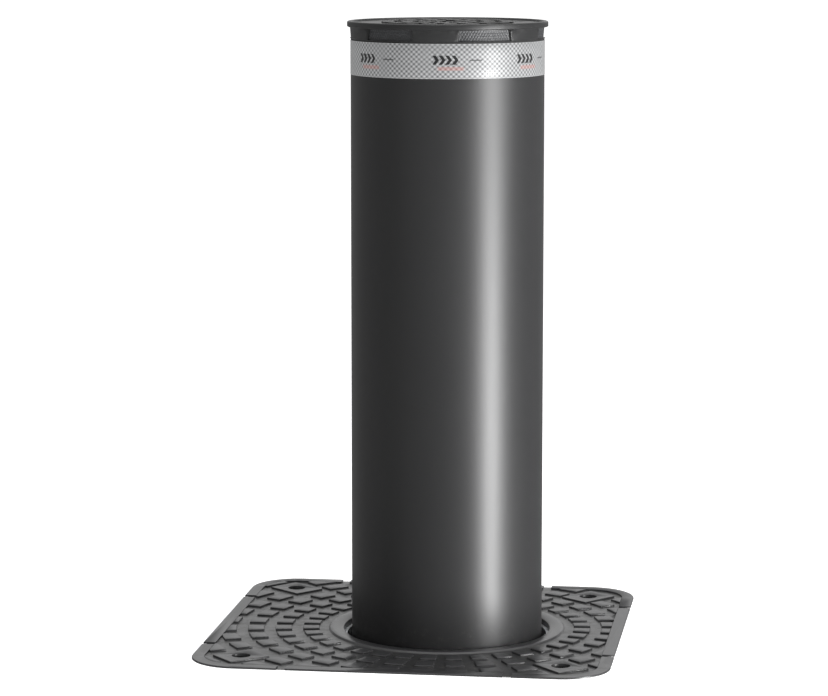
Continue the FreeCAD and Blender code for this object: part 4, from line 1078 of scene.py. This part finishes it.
@dataclass
class Head(Assembly):
    """Cap, lenses, boards and what fixes them.

    A pane has columns by rows points.  Prism is the width of a cell, prism_depth how deep its
    walls lie, and border how fast the cells rise from the pane's ends and its long edges.
    """

    body = "post"
    edge: float = 0.25 * MM
    columns: int = 116
    rows: int = 22
    prism: float = 3.4 * MM
    prism_depth: float = 0.45 * MM
    pane_thick: float = 2.6 * MM
    border: Span = (14, 7)
    chip_height: float = 1.0 * MM
    windows: int = 6

    def build(self) -> None:
        """Builds the lenses and dresses the head."""
        self.add(self.softened("head_cap", "head_casting", self.edge), "head_cap", "head_coat",
                 PowderCoat((0.015, 0.0152, 0.0156), 0.38, 340.0, 0.00010, 0.35), "cast_head_coat")
        self.add(self.lenses(), "light_lenses", "smoked_lens", SmokedLens(), "smoked_lens")
        self.dress("cap_screws", BareMetal((0.09, 0.09, 0.092), 0.42, Lay.BLASTED, 0.4),
                   "black_oxide")
        chip_radius = float(corners("light_boards")[1][0]) - self.chip_height
        self.dress("light_boards", CircuitBoard(chip_radius), "light_board")
        self.dress("light_driver", MouldedPlastic((0.03, 0.03, 0.032), 0.35), "potting")
        self.dress("head_plate", Galvanised(), "galvanised_plate")
        self.dress("head_bolt", BareMetal((0.60, 0.60, 0.56), 0.34), "zinc_bolt")

    def lenses(self) -> bpy.types.Object:
        """Six curved panes whose faces are rows of small hexagonal pyramids.

        A pane spans y from -w to w, where w changes evenly with height, on a cylinder of the lens
        radius; each point is sunk by the prism depth times its share of the way to its cell's
        wall, and the sinking fades out towards the pane's border.

        Returns:
            The panes as one piece.
        """
        low, high = corners("light_lenses")
        radius = float(high[0])
        half_low, half_high = self.widths()
        u = np.linspace(-1, 1, self.columns)[:, None]
        v = np.linspace(0, 1, self.rows)[None, :]
        y = u * (half_low + (half_high - half_low) * v)
        z = low[2] + (high[2] - low[2]) * v + 0 * u
        cell, root = self.prism, math.sqrt(3.0)
        share = np.full(y.shape, np.inf)
        for shift in (0.0, 0.5):
            across = np.abs((y / cell + shift) % 1.0 - 0.5)
            up = np.abs((z / (cell * root) + shift) % 1.0 - 0.5) * root
            share = np.minimum(share, np.maximum(across, across / 2 + up * root / 2))
        beside, above = self.border
        inset = np.minimum((1 - np.abs(u)) * beside, np.minimum(v, 1 - v) * above)
        front = radius - self.prism_depth * share * 2 * np.minimum(1.0, inset)
        back = np.full(y.shape, radius - self.pane_thick)
        shells = [self.pane(front, back, y, z, TURN * k / self.windows)
                  for k in range(self.windows)]
        return merged("prismatic_lenses", [shell[0] for shell in shells],
                      [shell[1] for shell in shells], smooth=False)

    def widths(self) -> Span:
        """Half widths of the first pane at its foot and top, read off the frame's own mesh.

        Returns:
            The two half widths, in metres.
        """
        mesh = frame["nodes"]["light_lenses"].data
        co = np.empty(len(mesh.vertices) * 3)
        mesh.vertices.foreach_get("co", co)
        co = co.reshape(-1, 3)
        own = co[(co[:, 0] > 0) & (np.abs(co[:, 1]) < 40 * MM)]
        mid = (own[:, 2].min() + own[:, 2].max()) / 2
        foot, top = own[own[:, 2] < mid, 1], own[own[:, 2] > mid, 1]
        return float(np.abs(foot).max()), float(np.abs(top).max())

    def pane(self, front: np.ndarray, back: np.ndarray, y: np.ndarray, z: np.ndarray,
             angle: float) -> tuple[np.ndarray, np.ndarray]:
        """Closed shell between two radii, where x is the root of radius squared less y squared.

        Args:
            front: radius of each point of the front.
            back: radius of each point of the back.
            y: place across the pane.
            z: height.
            angle: how far the pane is turned about Z, in radians.

        Returns:
            The shell's points and faces.
        """
        both = []
        for r in (front, back):
            x = np.sqrt(r * r - y * y)
            both.append(np.stack([x * math.cos(angle) - y * math.sin(angle),
                                  x * math.sin(angle) + y * math.cos(angle), z],
                                 axis=-1).reshape(-1, 3))
        nu, nv = y.shape
        quads, total = grid_faces(nu, nv), nu * nv
        rim = np.concatenate([np.arange(nu) * nv, (nu - 1) * nv + np.arange(1, nv),
                              np.arange(nu - 2, -1, -1) * nv + nv - 1, np.arange(nv - 2, 0, -1)])
        following = np.roll(rim, -1)
        side = np.stack([rim, following, following + total, rim + total], axis=-1)
        return np.concatenate(both), np.concatenate([quads, quads[:, ::-1] + total, side])


@dataclass
class GuideUnit(Assembly):
    """Carrier, guide tube, bushes, seals and stops."""

    def build(self) -> None:
        """Dresses the guide unit."""
        self.dress("carrier_flange outer_guide_tube stop_ring unit_base_plate", Galvanised(),
                   "galvanised_steel")
        self.dress("wiper_seal", Rubber((0.014, 0.014, 0.014), 0.66), "wiper_rubber")
        self.dress("upper_stop_buffer lower_buffer", Rubber((0.024, 0.022, 0.020), 0.8),
                   "buffer_rubber")
        self.dress("upper_guide_bush", MouldedPlastic((0.60, 0.59, 0.54), 0.42), "bush_plastic")
        self.dress("bush_screws", BareMetal((0.60, 0.60, 0.55), 0.34), "zinc_screws")
        self.dress("anti_rotation_rail", BareMetal((0.50, 0.50, 0.51), 0.24, Lay.DRAWN, 0.4),
                   "ground_rail")
        self.dress("limit_sensors", BareMetal((0.62, 0.56, 0.42), 0.26), "nickelled_brass")
        self.dress("sensor_lock_nuts", BareMetal((0.60, 0.55, 0.43), 0.30), "nickelled_nuts")


@dataclass
class LiftScrew(Assembly):
    """Ball screw, its nut, tube and bearings.

    Journal, seat and tip are radii along the screw.  Bore is the radius of the centre holes'
    rim as a share of the end's radius, past_pulley how far the seat goes on above the pulley,
    and past_bearing how far above the bearing the thread starts.
    """

    lead: float = 25 * MM
    starts: int = 2
    thread_depth: float = 1.5 * MM
    run_out: float = 6 * MM
    around: int = 40
    step: float = 1.25 * MM
    journal: float = 12.5 * MM
    seat: float = 10 * MM
    tip: float = 8 * MM
    bore: float = 0.4
    past_pulley: float = 3 * MM
    past_bearing: float = 1.2 * MM
    foot_chamfer: float = 0.6 * MM
    tip_chamfer: float = 0.8 * MM

    def build(self) -> None:
        """Cuts the thread and dresses the screw and what it drives."""
        steel = BareMetal((0.52, 0.52, 0.53), 0.22, Lay.TURNED, 0.35)
        self.add(self.threaded(), "ball_screw", "ground_steel", steel, "oiled_ground_steel",
                 "lifting_screw")
        self.dress("push_tube ball_nut screw_bearings", steel, "oiled_ground_steel")
        self.dress("screw_tip_guide barrel_gland", MouldedPlastic((0.58, 0.57, 0.52), 0.40),
                   "guide_plastic")
        self.dress("actuator_barrel", Galvanised(spangle=120.0), "galvanised_barrel")
        self.dress("barrel_foot", Galvanised(spangle=70.0), "galvanised_foot")
        self.dress("foot_bolts pulley_lock_nut", BareMetal((0.60, 0.60, 0.55), 0.34), "zinc_bolts")

    def threaded(self) -> bpy.types.Object:
        """Screw with its journals: radius = pitch radius - depth * groove(phase).

        The phase is height over lead less angle over a turn, times the starts; the groove is the
        upper half of a cosine wave raised to 1.5, faded out evenly at each end of the thread.

        Returns:
            The screw.
        """
        low, high = corners("ball_screw")
        z_foot, z_top, radius = float(low[2]), float(high[2]), float(high[0])
        z_seat = float(corners("screw_pulley")[1][2]) + self.past_pulley
        z0 = float(corners("screw_bearings")[1][2]) + self.past_bearing
        z1 = float(corners("screw_tip_guide")[0][2])
        z = np.arange(z0, z1, self.step)
        angle = np.linspace(0, TURN, self.around, endpoint=False)
        phase = (z[:, None] / self.lead - angle[None, :] / TURN) * self.starts
        groove = np.maximum(0.0, np.cos(TURN * phase)) ** 1.5
        ends = np.clip(np.minimum(z - z0, z1 - z) / self.run_out, 0, 1)[:, None]
        thread = radius - self.thread_depth * groove * ends
        seat, tip, cut, tip_cut = self.seat, self.tip, self.foot_chamfer, self.tip_chamfer
        foot = np.array([(self.bore * seat, z_foot), (seat - cut, z_foot), (seat, z_foot + cut),
                         (seat, z_seat), (seat, z_seat), (self.journal, z_seat),
                         (self.journal, z0 - 0.2 * MM), (radius, z0 - 0.1 * MM)])
        top = np.array([(radius, z1), (tip, z1 + 0.1 * MM), (tip, z_top - tip_cut),
                        (tip - tip_cut, z_top), (self.bore * tip, z_top)])
        r = np.concatenate([np.repeat(foot[:, :1], self.around, 1), thread,
                            np.repeat(top[:, :1], self.around, 1)])
        heights = np.concatenate([foot[:, 1], z, top[:, 1]])
        points = np.stack([r * np.cos(angle), r * np.sin(angle),
                           np.broadcast_to(heights[:, None], r.shape)], axis=-1)
        return sharpened(surface("threaded_screw", points, wrap_v=True, caps=True), 50)


@dataclass
class Drive(Assembly):
    """Motor, brake, gearbox, pulleys and belt.

    Pitch is from tooth to tooth, backing and tooth are the belt's thickness between its teeth
    and what a tooth adds, and flank is how steep a tooth's sides are.  The belt has count
    points along it, taken from large_count and small_count round the pulleys.
    """

    pitch: float = 5 * MM
    count: int = 900
    large_count: int = 400
    small_count: int = 160
    backing: float = 1.25 * MM
    tooth: float = 0.75 * MM
    flank: float = 1.6
    corner: float = 0.3 * MM

    def build(self) -> None:
        """Moulds the belt and dresses the drive."""
        self.add(self.belt(), "drive_belt", "belt_rubber", Rubber((0.016, 0.016, 0.017), 0.6),
                 "belt_rubber")
        self.dress("gearbox screw_pulley motor_pulley",
                   BareMetal((0.60, 0.61, 0.62), 0.36, Lay.BLASTED, 0.35), "cast_alloy")
        self.dress("motor_body", Enamel((0.055, 0.068, 0.080), 0.38), "motor_enamel")
        self.dress("brake_cover", Enamel((0.014, 0.014, 0.016), 0.36), "brake_enamel")
        self.dress("brake_release_lever", Enamel((0.42, 0.018, 0.010), 0.30), "lever_dip")
        self.dress("motor_shaft lever_pin", BareMetal((0.52, 0.52, 0.53), 0.24), "ground_pins")
        self.dress("motor_bolts", BareMetal((0.58, 0.58, 0.54), 0.34), "zinc_motor_bolts")
        self.dress("belt_guard", Galvanised(spangle=110.0), "galvanised_guard")

    def belt(self) -> bpy.types.Object:
        """Toothed belt round both pulleys.

        The path is the outline of two circles' hull, in steps of even length; out from it the
        back is flat, and the inside stands in by a tooth whose height is a cosine wave clipped
        flat at both ends.

        Returns:
            The belt.
        """
        low, high = corners("drive_belt")
        large = float(high[0])
        x_small = float(frame["record"]["behaviour"]["joints"][2]["pos_m"][0])
        small = x_small - float(low[0])
        tilt = math.pi - math.acos((large - small) / -x_small)
        a_large = np.linspace(-tilt, tilt, self.large_count)
        a_small = np.linspace(tilt, TURN - tilt, self.small_count)
        arc_large = np.stack([large * np.cos(a_large), large * np.sin(a_large)], 1)
        arc_small = np.stack([x_small + small * np.cos(a_small), small * np.sin(a_small)], 1)
        loop = np.concatenate([arc_large, arc_small, arc_large[:1]])
        steps = np.linalg.norm(np.diff(loop, axis=0), axis=1)
        length = np.concatenate([[0], np.cumsum(steps)])
        s = np.linspace(0, length[-1], self.count, endpoint=False)
        path = np.stack([np.interp(s, length, loop[:, 0]), np.interp(s, length, loop[:, 1])], 1)
        tangent = unit(np.roll(path, -1, 0) - np.roll(path, 1, 0))
        inward = np.stack([-tangent[:, 1], tangent[:, 0]], 1)
        teeth = round(length[-1] / self.pitch)
        wave = np.clip(np.cos(TURN * s / length[-1] * teeth) * self.flank, -1, 1) * 0.5 + 0.5
        inner = self.backing + self.tooth * wave
        z0, z1, corner = float(low[2]), float(high[2]), self.corner
        flat = 0 * inner
        depth = np.stack([flat + corner, flat, flat, flat + corner, inner, inner], 1)
        points = np.empty((self.count, 6, 3))
        points[:, :, :2] = path[:, None, :] + inward[:, None, :] * depth[:, :, None]
        points[:, :, 2] = np.array([z0, z0 + corner, z1 - corner, z1, z1, z0])
        return sharpened(surface("toothed_belt", points, wrap_u=True, wrap_v=True), 50)


@dataclass
class Wiring(Assembly):
    """Junction box, glands, motor cable and the coiled lead.

    Wire is the lead's radius, slack the room beside and above its coil inside the coil's
    stand-in, flare how far from the axis the wire's section follows the turn, and aside the
    way that its section faces on the straight tails.
    """

    wire: float = 3.1 * MM
    wire_sides: int = 9
    turns: int = 108
    per_turn: int = 18
    tail: float = 26 * MM
    tail_steps: int = 5
    slack: Span = (0.1 * MM, 0.2 * MM)
    flare: float = 3 * MM
    aside: tuple[float, float, float] = (0.35, 0.936, 0.02)

    def build(self) -> None:
        """Winds the coiled lead and dresses the wiring."""
        jacket = Rubber((0.020, 0.020, 0.021), 0.52)
        lead = self.add(self.coil(), "spiral_lead", "cable_jacket", jacket, "cable_jacket")
        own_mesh(lead)
        self.dress("motor_cable", jacket, "cable_jacket")
        self.dress("junction_box junction_lid", MouldedPlastic((0.34, 0.35, 0.355), 0.5, 700.0),
                   "box_plastic")
        self.dress("lid_screws", BareMetal((0.58, 0.58, 0.59), 0.3, Lay.BLASTED),
                   "stainless_screws")
        self.dress("cable_glands", BareMetal((0.62, 0.56, 0.42), 0.26), "nickelled_glands")

    def kept(self, length: float) -> float:
        """Share of the coil's length that is left when the post is down."""
        travel = -frame["record"]["behaviour"]["joints"][0]["range_m"][0]
        return (length - travel) / length

    def coil(self) -> bpy.types.Object:
        """Round wire carried along a helix with a straight tail at each end.

        The helix is centre + (r cos t, r sin t, z0 + pitch t / a turn); its radius grows from
        the tails' own by a smooth step over the first and last turn.

        Returns:
            The coil.
        """
        low, high = corners("spiral_lead")
        cx, cy = ((low + high) / 2)[:2]
        beside, above = self.slack
        z0, z1 = float(low[2]) + above, float(high[2]) - above
        t = np.linspace(0, self.turns, self.turns * self.per_turn)
        ease = eased(np.clip(np.minimum(t, self.turns - t), 0, 1))
        r = (float(high[0] - cx) - self.wire - beside) * ease
        climb = (z1 - z0 - 2 * self.tail) * t / self.turns
        helix = np.stack([cx + r * np.cos(TURN * t), cy + r * np.sin(TURN * t),
                          z0 + self.tail + climb], axis=1)
        rise = np.linspace(0, self.tail, self.tail_steps + 1)[:-1, None]
        start = np.concatenate([np.repeat(helix[:1, :2], self.tail_steps, 0), z0 + rise], 1)
        end = np.concatenate([np.repeat(helix[-1:, :2], self.tail_steps, 0), z1 - rise[::-1]], 1)
        points = self.wrapped(np.concatenate([start, helix, end]))
        return surface("coiled_lead", points, wrap_v=True, caps=True)

    def wrapped(self, path: np.ndarray) -> np.ndarray:
        """Circle carried along the path: path + a east + b north.

        East leans out from the coil's axis on the turns and to one side on the tails, less its
        part along the tangent; north is the tangent crossed with east.

        Args:
            path: array of shape (points, 3).

        Returns:
            Array of shape (points, sides, 3).
        """
        tangent = unit(np.gradient(path, axis=0))
        aside = np.cross(tangent, np.array(self.aside))
        outward = path - (path.max(0) + path.min(0)) / 2
        outward[:, 2] = 0
        reach = np.linalg.norm(outward, axis=1, keepdims=True)
        share = np.clip(reach / self.flare, 0, 1)
        east = aside * (1 - share) + outward / np.maximum(reach, 1e-9) * share
        east = unit(east - tangent * np.sum(east * tangent, 1, keepdims=True))
        north = np.cross(tangent, east)
        ring = circle(self.wire, self.wire_sides)
        a, b = ring[None, :, 0, None], ring[None, :, 1, None]
        return path[:, None, :] + a * east[:, None, :] + b * north[:, None, :]


@dataclass
class PitCasing(Assembly):
    """Buried box, its frame, drain, duct and anchors."""

    def build(self) -> None:
        """Dresses the casing."""
        self.dress("casing_top_frame casing_panels casing_floor drain_collar conduit_sleeve",
                   Galvanised((0.46, 0.475, 0.49), 65.0), "galvanised_casing")
        self.dress("anchor_bars", Galvanised((0.40, 0.41, 0.42), 140.0), "galvanised_bar")
        self.dress("weld_nuts", BareMetal((0.58, 0.58, 0.53), 0.36), "zinc_nuts")


# ---------------------------------------------------------------- studio
@dataclass
class Softbox:
    """One area light; only_on names the frame nodes that it is kept to, if any."""

    name: str
    place: tuple[float, float, float]
    target: tuple[float, float, float]
    size: Span
    power: float
    only_on: tuple[str, ...] = ()

    def make(self) -> None:
        """Makes the light, facing its target, unseen by the camera."""
        light = bpy.data.lights.new(self.name, "AREA")
        light.shape = "RECTANGLE"
        light.size, light.size_y = self.size
        light.energy = self.power
        made = placed(self.name, light)
        made.location = self.place
        aim = Vector(self.target) - Vector(self.place)
        made.rotation_euler = aim.to_track_quat("-Z", "Y").to_euler()
        made.visible_camera = False
        if self.only_on:
            lit = bpy.data.collections.new(self.name + "_lights")
            for node in self.only_on:
                lit.objects.link(frame["nodes"][node])
            made.light_linking.receiver_collection = lit
        log.info("lit %s", self.name)


@dataclass
class Studio:
    """Camera, floor, lights and surroundings.

    Around, behind and overhead are how bright the room is on its sides, low down behind the
    object and above it.  Behind starts to show where y passes behind_y, between the heights
    of a hump that rises over hump_low and falls over hump_high.
    """

    eye: tuple[float, float, float] = (0.4636, -3.6131, 0.8362)
    view: tuple[float, float, float] = (-0.1363, 0.9809, -0.1388)
    lens_mm: float = 139.24
    sensor_mm: float = 36.0
    sight: float = 200.0
    floor_z: float = -2.0 * MM
    floor_half: float = 30.0
    mouth_inset: float = 4 * MM
    mouth_corner: float = 55 * MM
    mouth_steps: int = 13
    around: float = 0.265
    behind: float = 0.86
    overhead: float = 0.55
    behind_y: Span = (0.80, 0.985)
    hump_low: Span = (0.02, 0.14)
    hump_high: Span = (0.35, 0.7)
    overhead_z: Span = (0.35, 0.9)
    lights: list[Softbox] = field(default_factory=lambda: [
        Softbox("strip_right_low", (1.62, -0.92, -0.19), (0.0, 0.0, -0.19), (0.46, 0.78), 46.0),
        Softbox("strip_right_high", (1.62, -0.92, 0.80), (0.0, 0.0, 0.80), (0.46, 1.2), 24.0),
        Softbox("overhead", (0.2, 0.4, 3.2), (0.0, 0.0, 0.0), (2.6, 2.6), 40.0),
        Softbox("strip_back", (-0.24, 1.885, 0.40), (0.0, 0.0, 0.40), (0.46, 1.5), 34.0,
                only_on=("lift_tube",)),
    ])

    def build(self) -> None:
        """Builds the studio."""
        self.camera()
        self.floor()
        self.surroundings()
        for light in self.lights:
            light.make()
        scene = bpy.context.scene
        scene.view_settings.view_transform = "Standard"
        scene.view_settings.look = "None"

    def camera(self) -> None:
        """Places the camera, level, without shift."""
        data = bpy.data.cameras.new("camera")
        data.sensor_width = self.sensor_mm
        data.lens = self.lens_mm
        data.clip_end = self.sight
        made = placed("camera", data)
        made.location = self.eye
        made.rotation_euler = Vector(self.view).to_track_quat("-Z", "Y").to_euler()
        bpy.context.scene.camera = made

    def floor(self) -> None:
        """Ground at the foot of the tread plate's rim, left out inside the pit's mouth."""
        low, high = corners("tread_plate")
        inset, corner = self.mouth_inset, self.mouth_corner
        x0, x1, y0, y1 = low[0] + inset, high[0] - inset, low[1] + inset, high[1] - inset
        arcs = []
        for cx, cy, start in ((x1 - corner, y1 - corner, 0), (x0 + corner, y1 - corner, 90),
                              (x0 + corner, y0 + corner, 180), (x1 - corner, y0 + corner, 270)):
            t = np.radians(np.linspace(start, start + 90, self.mouth_steps))
            arcs.append(np.stack([cx + corner * np.cos(t), cy + corner * np.sin(t)], 1))
        mouth = np.concatenate(arcs)
        middle = mouth.mean(0)
        points = np.stack([mouth, middle + unit(mouth - middle) * self.floor_half])
        level = np.full(points.shape[:2] + (1,), self.floor_z)
        made = surface("floor", np.concatenate([points, level], axis=-1), wrap_v=True, smooth=False)
        made.data.materials.append(StudioFloor().make("paper_floor"))
        if made.data.polygons[0].normal.z < 0:
            made.data.flip_normals()
        made.visible_glossy = False
        made.visible_shadow = False

    def surroundings(self) -> None:
        """Room: dim at the sides, bright low down behind the object, and white to the camera.

        The light from a direction (x, y, z) is around, plus behind times a smooth step of y and
        a hump of z, plus overhead times a smooth step of z.
        """
        s = Shader("room", world=True)
        bpy.context.scene.world = s.material
        x, y, z = s.axes(s.node("ShaderNodeTexCoord").out("Generated"))
        hump = z.step(*self.hump_low) * (1.0 - z.step(*self.hump_high))
        low_glow = y.step(*self.behind_y) * hump * self.behind
        light = self.around + low_glow + z.step(*self.overhead_z) * self.overhead
        seen = s.node("ShaderNodeLightPath").out("Is Camera Ray")
        white = (1.0, 1.0, 1.0)
        room = s.node("ShaderNodeBackground", None, white, light)
        paper = s.node("ShaderNodeBackground", None, white, 1.0)
        mixed = s.node("ShaderNodeMixShader", None, seen, room.out(), paper.out())
        out = s.tree.nodes.new("ShaderNodeOutputWorld")
        s.tree.links.new(mixed.raw.outputs[0], out.inputs[0])


def main() -> None:
    """Builds every sub-assembly in order."""
    logging.basicConfig(level=logging.INFO, format="%(name)s: %(message)s")
    for maker in (Studio(), TreadPlate(), Post(), Head(), GuideUnit(), LiftScrew(), Drive(),
                  Wiring(), PitCasing()):
        log.info("building %s", type(maker).__name__)
        maker.build()


if __name__ == "__main__":
    main()
